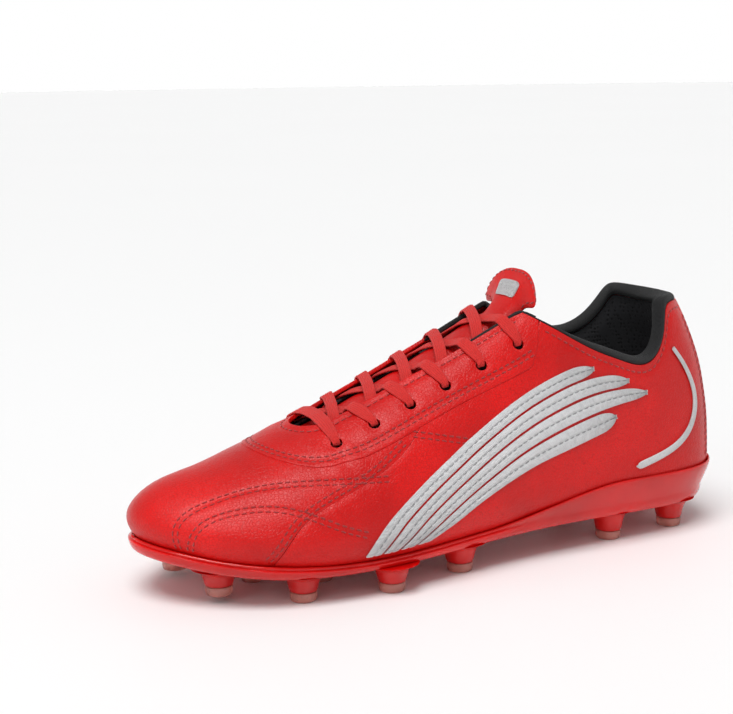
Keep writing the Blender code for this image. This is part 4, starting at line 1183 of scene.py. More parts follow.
def heel_line_edges(side, count=90):
    """(x, h) along both edges of the line round the heel."""
    fine = np.linspace(0, 1, count)
    mid = cubic([0, 0.2, 0.4, 0.6, 0.8, 1.0], HEEL_LINE)(fine)
    tangent = unit(np.gradient(mid, axis=0))
    across = np.stack([-tangent[:, 1], tangent[:, 0]], 1)
    half_w = (1.25 + 0.5 * fine)[:, None]
    half_w *= np.sqrt(np.clip(1 - (np.clip(fine - 0.97, 0, 1) / 0.03) ** 2, 0.02, 1))[:, None]
    edges = []
    for sign in (-1, 1):
        q = mid + across * half_w * sign
        q[:, 1] = np.minimum(q[:, 1], topline[side](q[:, 0]) - 0.8)
        edges.append(np.stack([q[:, 0], h_at_z(s_of(q[:, 0], side), q[:, 1])], 1))
    return edges


class CLEAT_OT_bands(bpy.types.Operator):
    """White stitched bands of the sides and the line round the heel"""

    bl_idname = "cleat.bands"
    bl_label = "White bands"

    def execute(self, context):
        for side, word in SIDES:
            for k, finger in enumerate(FINGERS, 1):
                low_e, high_e = finger_edges(*finger)
                node = f"side_stripe_{word}_{k}"
                self.band(f"band_{word}_{k}", low_e, high_e, side, node, sunk=0.42)
            low_e, high_e = heel_line_edges(side)
            self.band(f"heel_line_{word}", low_e, high_e, side, f"heel_stripe_{word}")
        return {"FINISHED"}

    def band(self, name, low_e, high_e, side, node, sunk=0.0):
        """A raised patch of satin stitch with round edges and, when sunk, a groove between."""
        v = np.linspace(0, 1, 21)
        s, h = side_patch(low_e, high_e, v, side)
        crown = 0.3 * np.clip(1 - (2 * v - 1) ** 4, 0, 1)
        groove = sunk * np.exp(-(((2 * v - 1) / 0.13) ** 2))
        piece = grid_piece(name, leather_points(s, h, -(0.7 + crown - groove)[None, :] + 0 * h))
        middle = raw(s, h)[:, len(v) // 2]
        stretch_uv(piece, distances(middle)[-1] / 10, 1.0)
        thicken(piece, 1.1, 0.3)
        shade(piece)
        keep(piece, finish("satin"), [node])


class CLEAT_OT_stitching(bpy.types.Operator):
    """Rows of thread along every seam"""

    bl_idname = "cleat.stitching"
    bl_label = "Stitching"

    def execute(self, context):
        gap = mm("row_gap") / 2
        for word in ("lateral", "medial"):
            self.tree = leather_tree()
            rows = []
            for name in ("toe_outer", "toe_inner", "dart", "vamp_back"):
                line = sewn_lines()[f"{name}_{word}"]
                centre = 2.6 * (1 if word == "lateral" else -1) if name == "vamp_back" else 0.0
                rows += [shifted(line, centre - gap), shifted(line, centre + gap)]
            rows.append(sewn_lines()[f"topline_{word}"])
            back = sewn_lines()[f"back_seam_{word}"]
            rows += [shifted(back, -1.9), shifted(back, 1.9)]
            self.sew(f"seam_thread_{word}", rows, "red_thread", "leather")
            self.tree = tree_of([bpy.data.objects[f"band_{word}_{k + 1}"]
                                 for k in range(len(FINGERS))])
            self.sew(f"band_thread_{word}", self.band_rows(word), "grey_thread", "satin_stitch")
        self.tree = leather_tree()
        seam, throat = sewn_lines()["facing_seam"], sewn_lines()["throat_edge"]
        rows = [shifted(seam, -gap), shifted(seam, gap), throat]
        self.sew("facing_thread", rows, "red_thread", "leather")
        return {"FINISHED"}

    def band_rows(self, word):
        """A sunk row along the middle of each white band."""
        side = 1 if word == "lateral" else -1
        rows = []
        for finger in FINGERS:
            low_e, high_e = finger_edges(*finger)
            p, n = on_upper((low_e + high_e)[4:-4] / 2, side)
            rows.append((p + n * 0.7, n))
        return rows

    def sew(self, name, rows, thread, slot):
        keep(copies(name, stitch_seed(name), rows_of_stitches(self.tree, rows)), finish(thread))


def leather_tree():
    """A search tree of the finished outer pieces."""
    names = ["vamp_leather", "quarter_lateral_leather", "quarter_medial_leather",
             "backstay_leather", "facing_leather"]
    return tree_of([bpy.data.objects[n] for n in names])


def tree_of(pieces):
    """A search tree of the faces of some pieces."""
    points, faces = [], []
    for piece in pieces:
        start = len(points)
        points += [v.co.copy() for v in piece.data.vertices]
        faces += [tuple(i + start for i in f.vertices) for f in piece.data.polygons]
    return BVHTree.FromPolygons(points, faces)


def tongue_depth(x, y):
    """Depth of the tongue's outer face: its edges sink inside the collar, its top rises
    and opens out flatter than the instep."""
    side_drop = 3.3 * smooth((np.abs(y - ridge_y(x)) - 8) / 10) * smooth((142 - x) / 30)
    side_drop = side_drop * (1 - smooth((HINGE_X - x) / 9))
    rise = np.clip((118.0 - x) / 19.0, 0, None)
    lift = 5.0 * smooth((HINGE_X - x) / 13) * (np.abs(y - ridge_y(x)) / 19) ** 2
    return TONGUE_DEPTH + side_drop - 10.6 * rise**1.45 - lift


TONGUE_LOW_X = 228.0
FLAP_HALF = cubic([0, 0.3, 0.6, 0.85, 1], [15.8, 15.6, 17.0, 19.4, 17.2])
TONGUE_THICK = 4.6
BADGE_X, BADGE_HALF = (110.0, 104.2), 8.0


class CLEAT_OT_tongue(bpy.types.Operator):
    """Padded tongue, in one piece from under the laces to its free top, and its badge"""

    bl_idname = "cleat.tongue"
    bl_label = "Tongue"

    def execute(self, context):
        x = np.concatenate([np.linspace(TONGUE_LOW_X, 125, 60), np.linspace(124, TONGUE_TOP_X, 60)])
        t = np.clip((HINGE_X - x) / (HINGE_X - TONGUE_TOP_X), 0, 1)
        lower = 19.0 + 2.0 * np.clip((TONGUE_LOW_X - x) / 114.5, 0, 1)
        narrow = smooth((124 - x) / 10)
        half_w = lower * (1 - narrow) + FLAP_HALF(t) * narrow
        e = np.sin(np.linspace(-1, 1, 49) * math.pi / 2)[None, :]
        y = ridge_y(x)[:, None] + e * half_w[:, None]
        xx = x[:, None] + 3.6 * smooth(t)[:, None] * np.abs(e) ** 3
        d = tongue_depth(xx, y)
        end = np.clip(np.minimum(TONGUE_LOW_X - x, (x - TONGUE_TOP_X) * 2.6) / 7.0, 0, 1)
        end = np.sqrt(np.clip(1 - (1 - end) ** 2, 0, 1))[:, None]
        rim = end * np.sqrt(np.clip(1 - np.abs(e) ** 7, 0, 1))
        plump = 1.2 * (1 - np.clip(np.abs(e) / 0.72, 0, 1) ** 2) * smooth((x[:, None] - 116) / 8)
        middle, half_t = TONGUE_THICK / 2, TONGUE_THICK / 2 * rim
        outer = over(xx, y, d + middle - half_t - plump * rim)
        inner = over(xx, y, d + middle + half_t)
        tongue = self.pad("tongue_padding", outer, inner)
        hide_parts("tongue_shell", "tongue_foam", "tongue_lining",
                    "flap_shell", "flap_foam", "flap_lining")
        fold_x = np.array([HINGE_X + 5.0, HINGE_X - 3.5])
        fold = over(fold_x, np.array([1.0, 1.0]), tongue_depth(fold_x, 1.0) + 2.0)
        start, stop = (Vector(p) for p in place(fold))
        start.y = stop.y = 0
        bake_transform(tongue)
        self.badge()
        self.edge_thread(xx, y, d)
        return {"FINISHED"}

    def pad(self, name, outer, inner):
        """Two grids sewn together round their edge, leather outside and lining inside."""
        face = grid_piece(name, outer)
        back = grid_piece(name + "_back", inner, outward=False)
        for half in (face, back):
            for kind in ("leather", "mesh"):
                half.data.materials.append(finish(kind))
        for polygon in back.data.polygons:
            polygon.material_index = 1
        piece = joined(name, [face, back])
        edit(piece, weld, face_out)
        shade(piece, 60)
        return piece

    def badge(self):
        """A plain woven label with a stitched border on the tongue's top."""
        u = np.linspace(-1, 1, 33)[:, None]
        v = np.linspace(-1, 1, 33)[None, :]
        ax, ay = u * (1 - 0.10 * v**6), v * (1 - 0.10 * u**6)
        mid, reach = sum(BADGE_X) / 2, (BADGE_X[0] - BADGE_X[1]) / 2
        x, y = mid - ax * reach, ridge_y(mid) + ay * BADGE_HALF
        rim = np.maximum(np.abs(u), np.abs(v))
        lift = 0.55 + 0.3 * (1 - rim**8) - 0.3 * np.exp(-(((rim - 0.8) / 0.06) ** 2))
        piece = grid_piece("tongue_badge", over(x, y, tongue_depth(x, y) - lift))
        stretch_uv(piece, 1.4, 1.0)
        thicken(piece, 0.9, 0.2)
        shade(piece)
        keep(piece, finish("badge"), ["flap_badge"], "tongue_flap")

    def edge_thread(self, xx, y, d):
        """A row of thread round the free top, inside its rim."""
        grid = np.stack([xx, y, d], -1)
        first, last, left, right = 74, 115, 4, 44  # rows and columns of the tongue's grid
        line = np.concatenate([grid[first:last, left], grid[last, left + 1:right],
                               grid[first:last, right][::-1]])
        x, y, d = line.T
        p, q = over(x, y, d), over(x, y, d - 1)
        tree = tree_of([bpy.data.objects["tongue_padding"]])
        places = rows_of_stitches(tree, [(p, unit(q - p))])
        keep(copies("tongue_thread", stitch_seed("tongue_thread"), places), finish("red_thread"),
             (), "tongue_flap")


class CLEAT_OT_collar(bpy.types.Operator):
    """Padded collar, its lining down to the footbed and its rolled edge"""

    bl_idname = "cleat.collar"
    bl_label = "Collar and lining"

    def execute(self, context):
        keep(self.lining(), finish("mesh"), ["rear_lining", "collar_foam"])
        keep(self.roll(), finish("binding"), ["collar_binding"])
        for side, word in SIDES:
            keep(self.piping(side, word), finish("binding"))
        return {"FINISHED"}

    def piping(self, side, word):
        """The collar's edge carried round the facing's top corner and down the throat."""
        x = np.linspace(111.5, 141.0, 36)
        y = ridge_y(x) + side * (throat_half(x) - 0.35)
        throat = over(x, y, 0.75)
        x_top = np.linspace(105.5, 109.5, 5)
        s_top = s_of(x_top, side)
        top = skin(s_top, h_at_z(s_top, topline[side](x_top) + 0.6), 0.9)
        count = 70
        path = eased(resampled(np.concatenate([top, throat]), count), 12)
        thick = 2.3 * np.sqrt(np.clip(1 - np.linspace(-0.1, 1, count) ** 12, 0.03, 1))
        piece = band(f"throat_piping_{word}", path, np.tile([0.0, 1.0, 0.0], (count, 1)),
                     np.stack([thick, thick * 1.05], 1), circle(14), 2.0)
        shade(piece, 60)
        return piece

    def lining(self):
        """The inner wall: thin at the front and low, swollen with foam near the topline."""
        front = np.linspace(167.6, 112.0, 30)[:-1]
        sv = np.concatenate([s_of(front, 1), round_heel(111.0, 190),
                             (s_of(front, -1) - 1)[::-1]])
        xv = outline(sv)[:, 0]
        side_v = np.where(np.mod(sv, 1.0) < 0.5, 1, -1)
        h_throat = plan(xv, ridge_y(xv) + side_v * (throat_half(xv) + 1.0))[1]
        front_edge = raw(sv, h_throat)[:, 2]
        z_edge = np.where(xv > 110.0, front_edge, top_of(sv) - 0.4)
        levels = np.linspace(0, 1, 60)
        s, h = rise_grid(sv, base_z(xv) + 0.3, z_edge, levels)
        swell = pad(s, h)
        seam = np.exp(-(((levels[None, :] - 0.56) / 0.02) ** 2))
        seam = seam * smooth((105 - outline(s)[..., 0]) / 20)
        tuck = 1.2 * np.exp(-(((levels[None, :] - 1.0) / 0.06) ** 2)) * swell
        depth = LINING + 0.8 + (COLLAR_PAD + 0.9) * swell - 0.7 * seam - tuck
        piece = grid_piece("collar_lining", skin(s, h, depth), outward=False)
        thicken(piece, 0.7)
        shade(piece, 60)
        return piece

    def roll(self):
        """The rolled edge, fat at the back and a thin piping in front."""
        sv = np.concatenate([[s_of(109.8, 1)], round_heel(108.5, 230), [s_of(109.8, -1) - 1]])
        h_top = h_at_z(sv, top_of(sv))
        edge = skin(sv, h_top, 0.0)
        inward = skin(sv, h_top, 1.0) - edge
        up = unit(skin(sv, h_top + 0.004, 0.0) - skin(sv, h_top - 0.004, 0.0))
        wide = 4.9 + COLLAR_PAD * pad(sv, h_top - 0.01)
        tall = 0.9 + 1.5 * smooth((103 - outline(sv)[:, 0]) / 30)
        centre = edge + inward * (wide / 2 - 0.15)[:, None] + up * (tall * 0.75)[:, None]
        section = np.sign(circle(24)) * np.abs(circle(24)) ** 0.8
        loop = (centre[:, None] + inward[:, None] * (section[None, :, :1] * wide[:, None, None] / 2)
                + up[:, None] * (section[None, :, 1:] * tall[:, None, None]))
        loop = np.concatenate([loop, loop[:, :1]], 1)
        piece = grid_piece("collar_roll", loop)
        stretch_uv(piece, 42.0, 2.0)
        edit(piece, weld, close_ends, face_out)
        shade(piece, 60)
        return piece


def stitch_seed(name):
    """One stitch: a bead of thread along X."""
    deselect()
    bpy.ops.mesh.primitive_uv_sphere_add(segments=6, ring_count=4, radius=1.0)
    seed = named(bpy.context.object, name + "_seed")
    edit(seed, lambda: bpy.ops.transform.rotate(value=math.pi / 2, orient_axis="Y",
                                                center_override=(0, 0, 0)))
    r, half_length = mm("thread") / 1000, mm("stitch_length") / 2000
    for v in seed.data.vertices:
        end = math.copysign(min(1.0, abs(v.co.x)) ** 0.8, v.co.x)
        v.co = (end * half_length, v.co.y * r * 1.15, v.co.z * r)
    return seed


def rows_of_stitches(tree, rows):
    """The place of each stitch along each row, on the surface under it."""
    made = []
    for p, n in rows:
        length = distances(p)
        count = int(length[-1] / mm("stitch_pitch"))
        if count < 2:
            continue
        at = (np.arange(count) + 0.5) * length[-1] / count
        spots = np.stack([np.interp(at, length, p[:, k]) for k in range(3)], 1)
        out = np.stack([np.interp(at, length, n[:, k]) for k in range(3)], 1)
        for spot, normal, t in zip(spots, out, unit(np.gradient(spots, axis=0))):
            found = tree.find_nearest(Vector(place(spot)))
            if found[0] is None or found[3] > 0.004:
                continue
            z = np.array(found[1])
            z = z * (1 if z @ normal >= 0 else -1)
            x = unit(t - z * (t @ z))
            made.append((np.array(found[0]) + z * 0.00004, x, np.cross(z, x), z))
    return made


# ---- laces ----
LACE_WIDTH, LACE_THICK = 6.2, 1.2


def depth_along(w, on_top, half_gap):
    """Depth of a strand: w is negative under its own facing and positive over the other."""
    if on_top:
        knots = [-26.0, -half_gap + 1.2, -7.9, 0.0, 7.9, half_gap - 1.8, 26.0]
        values = [2.5, 2.5, 1.3, 0.7, -0.1, -1.05, -1.1]
    else:
        knots = [-26.0, -half_gap, -7.9, 0.0, 7.9, half_gap - 1.9, 26.0]
        values = [2.5, 2.6, 3.2, 3.25, 3.1, -1.05, -1.1]
    return float(np.interp(w, knots, values))


def strand(k, side_from):
    """Points from eyelet k on one side to eyelet k + 1 on the other."""
    x0, x1 = EYELETS_X[k], EYELETS_X[k + 1]
    far, g = EYELET_Y, float(throat_half((x0 + x1) / 2))
    ends = (-g + 1.2, -7.9) if side_from > 0 else (-g, -7.9)
    marks = [-far + 1.6, -(far + g) / 2, ends[0], ends[1], 0.0, 7.9, g - 1.8, g + 3.5, far - 2.4]
    pts = []
    for w in marks:
        x = x0 + (x1 - x0) * (far + w) / (2 * far)
        wide = 5.2 if abs(w) < g - 1 else LACE_WIDTH
        wide = 4.4 if abs(w) > far - 3 else wide
        pts.append((x, -w * side_from, depth_along(w, side_from > 0, g), wide, LACE_THICK))
    return pts


def through(k, side):
    """Points of the turn through an eyelet, from outside to inside."""
    x, y = EYELETS_X[k], EYELET_Y * side
    return [(x, y - 0.8 * side, -0.8, 3.4, 1.3), (x, y + 0.2 * side, 0.0, 3.0, 1.5),
            (x, y + 0.2 * side, 1.6, 3.0, 1.5), (x, y - 0.8 * side, 2.4, 3.4, 1.3)]


def half_lace(side):
    """From the eyelet after the bar to the tucked tail."""
    pts = through(0, side)
    for k in range(5):
        pts += strand(k, side)
        side = -side
        pts += through(k + 1, side)
    x = EYELETS_X[5]
    pts += [(x, 22.0 * side, 2.5, 4.4, 1.2), (x + 0.3, 18.8 * side, 2.55, 4.4, 1.2),
            (x + 0.5, 16.4 * side, 3.1, 4.4, 1.2), (x + 0.5, 15.9 * side, 4.5, 4.4, 1.2),
            (x + 0.5, 17.8 * side, 5.7, 4.4, 1.2)]
    return pts, side


TAIL = ((118.5, 91.0, 6.1), (121.5, 81.0, 6.5), (127.0, 72.5, 6.7), (136.0, 67.5, 6.7),
        (146.0, 63.5, 6.7), (156.0, 59.5, 6.7))


def lace_half_points(side):
    """Rows of place, outward way, width and thickness for one half of the lace."""
    pts, end = half_lace(side)
    rows = []
    for x, y, d, w, t in pts:
        yy = float(ridge_y(x)) + y
        p, q = over(x, yy, d), over(x, yy, d - 1.0)
        rows.append((*p, *(q - p), w, t))
    for x, z, d in TAIL:
        s = s_of(x, end)
        h = h_at_z(s, z)
        p, q = skin(s, h, d), skin(s, h, d - 1.0)
        rows.append((*p, *(q - p), 5.2, LACE_THICK))
    return np.array(rows)


def width_directions(path, normals):
    """Width direction at each point: flat on the surface, or carried over where it dives."""
    tangent = unit(np.gradient(path, axis=0))
    mid = len(path) // 2
    out = np.zeros_like(path)
    for order in (range(mid, len(path)), range(mid - 1, -1, -1)):
        w = np.array([0.88, 0.0, -0.47]) if order[0] == mid else out[mid].copy()
        for i in order:
            t, n = tangent[i], normals[i]
            w = w - t * (w @ t)
            if abs(n @ t) < 0.6:
                flat = np.cross(n, t)
                w = flat * (1 if flat @ w >= 0 else -1)
            w /= np.linalg.norm(w)
            out[i] = w
    return out


class CLEAT_OT_laces(bpy.types.Operator):
    """Flat ribbed lace through every eyelet, and its tips"""

    bl_idname = "cleat.laces"
    bl_label = "Lace"

    def execute(self, context):
        bar = [(EYELETS_X[0], u, d) for u, d in ((-22.0, -1.1), (-13.0, -1.1), (-5.0, -0.9),
                                                 (5.0, -0.9), (13.0, -1.1), (22.0, -1.1))]
        rows = []
        for k, (x, u, d) in enumerate(bar):
            y = float(ridge_y(x)) + u
            p, q = over(x, y, d), over(x, y, d - 1.0)
            rows.append((*p, *(q - p), 4.4 if k in (0, 5) else LACE_WIDTH, 1.2))
        lateral, medial = lace_half_points(1), lace_half_points(-1)
        control = np.concatenate([medial[::-1], np.array(rows), lateral])
        directions = width_directions(control[:, :3], control[:, 3:6])
        fine = self.relaxed(np.concatenate([control[:, :3], directions, control[:, 6:8]], 1))
        lace = band("flat_lace", fine[:, :3], fine[:, 3:6], fine[:, 6:8], self.profile(), 6.0)
        shade(lace, 60)
        keep(lace, finish("lace"), ["lace"])
        for word, end, prev, w in (("a", fine[0], fine[1], directions[0]),
                                   ("b", fine[-1], fine[-2], directions[-1])):
            self.tip(word, end[:3], unit(end[:3] - prev[:3]), w)
        return {"FINISHED"}

    def relaxed(self, rows):
        """The route resampled every 0.8 mm, its corners eased as cloth does."""
        fine = eased(resampled(rows, int(distances(rows[:, :3])[-1] / 0.8)), 5)
        fine[:, 7] *= 0.92
        return fine

    def profile(self):
        """Half outline of the flat braid, ribbed top and bottom, with round edges."""
        ribs = bpy.context.scene.cleat_sizes.lace_ribs
        u = np.linspace(-0.9, 0.9, 4 * ribs + 1)
        face = 0.66 + 0.34 * np.abs(np.sin(ribs * math.pi * (u + 0.9) / 1.8)) ** 0.6
        upper = list(zip(u, face))
        return [(-1.0, 0.0), (-0.97, 0.5)] + upper + [(0.97, 0.5), (1.0, 0.0), (0.97, -0.5)] + [
            (a, -b) for a, b in upper[::-1]] + [(-0.97, -0.5)]

    def tip(self, word, end, t, w):
        """A crimped film tip on the lace's end."""
        at = np.array([0.35, 0.6, 1.0, 3.0, 6.0, 9.0, 12.0, 14.2, 14.8, 15.0])
        path = end + t * at[:, None]
        k = np.array([0.8, 0.96, 1, 1, 0.97, 1, 1, 0.95, 0.85, 0.7])[:, None]
        piece = band(f"lace_tip_{word}", path, np.repeat(w[None], len(at), 0), k * (2.6, 1.7),
                     circle(16))
        shade(piece, 50)
        keep(piece, finish("lace_tip"), [f"aglet_{word}"])


# ---- sole ----
def plan_out(sv, foot):
    """Outward plan direction of the sole edge."""
    near = np.clip(sv, 0.001, 0.999)
    tangent = unit(outline(near + 5e-4) - outline(near - 5e-4))
    out = np.stack([-tangent[:, 1], tangent[:, 0]], 1)
    out *= np.sign((out * (foot[:, :2] - (140, 0))).sum(1))[:, None]
    out[foot[:, 0] <= foot[:, 0].min() + 1e-6] = (-1, 0)
    out[-1] = (1, 0)
    return out


def sole_edge(side, x, inset):
    """Plan points of the sole edge at stations x, moved in."""
    sv = s_of(x, side)
    foot = raw(sv, 0.0)
    return foot[:, :2] - plan_out(sv, foot) * inset


def plate_lines(side, x):
    """The plate's lines along its length, from its middle up round the rim and back below."""
    s = s_of(x, side)
    z0, zb = base_z(x), sole_z(x)
    foot = raw(s, 0.0)
    out = plan_out(s, foot)
    cx = np.clip(x, 34, 244)
    centre = np.stack([cx, ridge_y(cx)], 1)
    lip = 1.6 + 10.4 * smooth((140.0 - x) / 75.0)

    def ring_at(offset, z):
        return np.concatenate([foot[:, :2] + out * offset, z[:, None]], 1)

    def inward(share, z):
        return np.concatenate([foot[:, :2] + (centre - foot[:, :2]) * share, z[:, None]], 1)

    return [
        inward(1.0, base_z(cx) - GAP - 0.9),
        ring_at(-0.6, z0 - GAP),
        ring_at(0.35, z0 - GAP),
        *(skin(s, h_at_z(s, z0 + lip * k), -0.55) for k in (0.3, 0.62, 0.93)),
        skin(s, h_at_z(s, z0 + lip), -0.9),
        skin(s, h_at_z(s, z0 + lip), -1.5),
        *(skin(s, h_at_z(s, z0 + lip * k), -1.95) for k in (0.9, 0.5)),
        ring_at(3.4, z0 - 0.2),
        ring_at(3.5, z0 - 1.0),
        ring_at(3.0, (z0 + zb) / 2 - 0.6),
        ring_at(2.1, zb + 0.7),
        ring_at(1.0, zb),
        ring_at(-0.4, zb - 0.1),
        inward(0.35, sole_z(x) + 0.1),
        inward(0.7, sole_z(x) + 0.3),
        inward(1.0, sole_z(cx) + 0.4),
    ]


spine_half = cubic([0, 60, 105, 150, 200, 230], [6.2, 6.6, 9.0, 12.0, 5.6, 4.6])


def studs():
    """Plan place, share of full size and lift over the ground of each stud."""
    for i, (x, y) in enumerate(STUDS):
        yield x, y, 0.84 if i in SMALL_STUDS else 1.0, TOE_SPRING if x > 250 else 0.0


class CLEAT_OT_sole(bpy.types.Operator):
    """Moulded plate with its cupped rim, spine, grip dots and the stud cones"""

    bl_idname = "cleat.sole"
    bl_label = "Sole plate"

    def execute(self, context):
        x = outline(np.linspace(0, TOE_S, 150))[:, 0]
        x[0], x[-1] = table_xy[0, 0], X_MAX
        lateral, medial = plate_lines(1, x), plate_lines(-1, x)
        loop = np.stack(lateral + medial[::-1] + lateral[:1], 1)
        plate = grid_piece("sole_plate", loop)
        edit(plate, weld, close_ends, face_out)
        modify(plate, "SUBSURF", levels=1, render_levels=1)
        shade(plate, 45)
        keep(plate, finish("plate"), ["outsole"])
        self.under = tree_of([plate])
        keep(self.spine(), finish("plate"))
        keep(self.bead(), finish("plate"))
        keep(self.dots(), finish("plate"))
        keep(self.cones(), finish("plate"))
        return {"FINISHED"}

    def below(self, x, y):
        """The plate's underside at a design point, and its downward normal there."""
        at = place([x, y, -60.0])
        hit = self.under.ray_cast(Vector(at), Vector((0, 0, 1)))
        if hit[0] is None:
            return None
        return (np.array(hit[0]) - SHIFT) * 1000, np.array(hit[1])

    def spine(self):
        """A raised smooth keel along the middle of the plate."""
        x = np.linspace(20.0, 214.0, 130)
        near_end = np.clip(np.abs(x - 117.0) / 97.0 - 0.9, 0, 1)
        half_w = spine_half(x) * np.sqrt(np.clip(1 - near_end**2 / 0.0102, 0.02, 1))
        e = np.linspace(-1, 1, 21)
        points = np.zeros((len(x), len(e), 3))
        for i, (xi, wide) in enumerate(zip(x, half_w)):
            ribs = 0.25 * (math.sin(xi / 1.9) > 0.2) * (60 < xi < 190)
            for j, ej in enumerate(e):
                spot, _ = self.below(xi, float(ridge_y(xi)) + ej * wide)
                rise = 1.5 * math.sqrt(max(1 - abs(ej) ** 5, 0)) + ribs * (abs(ej) < 0.55) - 0.4
                points[i, j] = spot - (0, 0, rise)
        piece = grid_piece("sole_spine", points)
        thicken(piece, 0.8)
        shade(piece, 40)
        return piece

    def bead(self):
        """A low bead that follows the sole's edge."""
        x = np.concatenate([np.linspace(12, 30, 14), np.linspace(33, 250, 110),
                            np.linspace(252, 274, 24)])
        lateral, medial = sole_edge(1, x, 7.5), sole_edge(-1, x, 7.5)
        loop = np.concatenate([lateral, medial[::-1], lateral[:1]])
        loop = eased(resampled(loop, 420, lead=2), 6)
        path = np.array([self.below(*p)[0] for p in loop]) - (0, 0, 0.1)
        across = np.cross(np.gradient(path, axis=0), np.array([0.0, 0.0, 1.0]))
        piece = band("sole_bead", path, across, np.full((len(path), 2), 1.5), circle(8))
        shade(piece, 70)
        return piece

    def dots(self):
        """Small domes in staggered rows, left out near the edge, the spine and the studs."""
        pitch = mm("grip_pitch")
        edge_x = np.linspace(4, 284, 400)
        rim = np.concatenate([sole_edge(1, edge_x, 0), sole_edge(-1, edge_x, 0)])
        centres = np.array(STUDS)
        keep_off = np.array([10.8 if share < 1 else 12.4 for _, _, share, _ in studs()])
        places = []
        for row, x in enumerate(np.arange(12.0, 248.0, pitch * 0.866)):
            y_low, y_high = (sole_edge(side, np.array([x, x + 1]), 0)[0, 1] for side in (-1, 1))
            for y in np.arange(y_low, y_high, pitch) + (row % 2) * pitch / 2:
                near_rim = np.linalg.norm(rim - (x, y), axis=1).min() < 9.6
                near_stud = (np.linalg.norm(centres - (x, y), axis=1) < keep_off).any()
                on_spine = x < 220 and abs(y - float(ridge_y(x))) < spine_half(min(x, 218.0)) + 1.6
                if near_rim or near_stud or on_spine or not y_low < y < y_high:
                    continue
                spot, normal = self.below(x, y)
                z = -normal if normal[2] > 0 else normal
                along = unit(np.array([1.0, 0.0, 0.0]) - z * z[0])
                places.append((place(spot), along, np.cross(z, along), z))
        height = mm("grip_height") / 1000
        deselect()
        bpy.ops.mesh.primitive_cone_add(vertices=6, radius1=0.00078, radius2=0.00036, depth=height,
                                        location=(0, 0, height * 0.42))
        seed = named(bpy.context.object, "grip_dot_seed")
        seed.data.transform(Matrix.Translation(seed.location))
        seed.location = (0, 0, 0)
        return copies("grip_dots", seed, places)

    def cones(self):
        """The moulded cone of each stud, flaring into the plate."""
        made = []
        for i, (x, y, share, lift) in enumerate(studs()):
            zb, r, base_r = float(sole_z(x)), STUD_TIP_R * share, STUD_BASE_R * share
            foot = lift + STUD_TIP_H + 0.05
            body = zb - foot
            profile = [(r - 0.9, foot), (r - 0.35, foot + 0.12), (r - 0.05, foot + 0.45),
                       (r + 0.35, foot + body * 0.28), (r + 0.8, foot + body * 0.5),
                       (r + 1.3, foot + body * 0.68), (r + 2.0, foot + body * 0.82),
                       (base_r - 0.2, zb - 0.35), (base_r + 0.9, zb + 0.15), (base_r + 2.2, zb + 0.75)]
            made.append(turned(f"stud_cone_{i}", profile, 48, (x, y)))
        for piece in made:
            shade(piece, 40)
        return joined("stud_cones", made)


class CLEAT_OT_tips(bpy.types.Operator):
    """Clear tips of the studs, with their ring grooves and centre holes"""

    bl_idname = "cleat.tips"
    bl_label = "Stud tips"

    def execute(self, context):
        r, top = STUD_TIP_R, STUD_TIP_H
        profile = [(r - 1.1, top), (r - 0.45, top - 0.08), (r - 0.22, top - 0.35),
                   (r - 0.28, top - 1.6), (r - 0.42, 0.95), (r - 0.62, 0.38), (r - 1.0, 0.08),
                   (r - 1.45, 0.0), (r - 1.95, 0.0), (r - 2.05, 0.32), (r - 2.35, 0.32),
                   (r - 2.45, 0.0), (2.6, 0.0), (2.5, 0.3), (2.2, 0.3), (2.1, 0.02), (1.7, 0.1),
                   (1.5, 0.4), (1.35, 1.3), (0.0, 1.45)]
        seed = turned("stud_tip_seed", profile, 48)
        shade(seed, 35)
        made = []
        for i, (x, y, share, lift) in enumerate(studs()):
            mesh = seed.data.copy()
            mesh.transform(Matrix.Translation(place([x, y, lift]))
                           @ Matrix.Diagonal((share, share, 1, 1)))
            piece = bpy.data.objects.new(f"tip_{i}", mesh)
            bpy.context.scene.collection.objects.link(piece)
            made.append(piece)
        bpy.data.objects.remove(seed, do_unlink=True)
        nodes = [f"stud_tip_{i + 1:02d}" for i in range(len(STUDS))]
        keep(joined("stud_tips", made), finish("tip"), nodes)
        return {"FINISHED"}


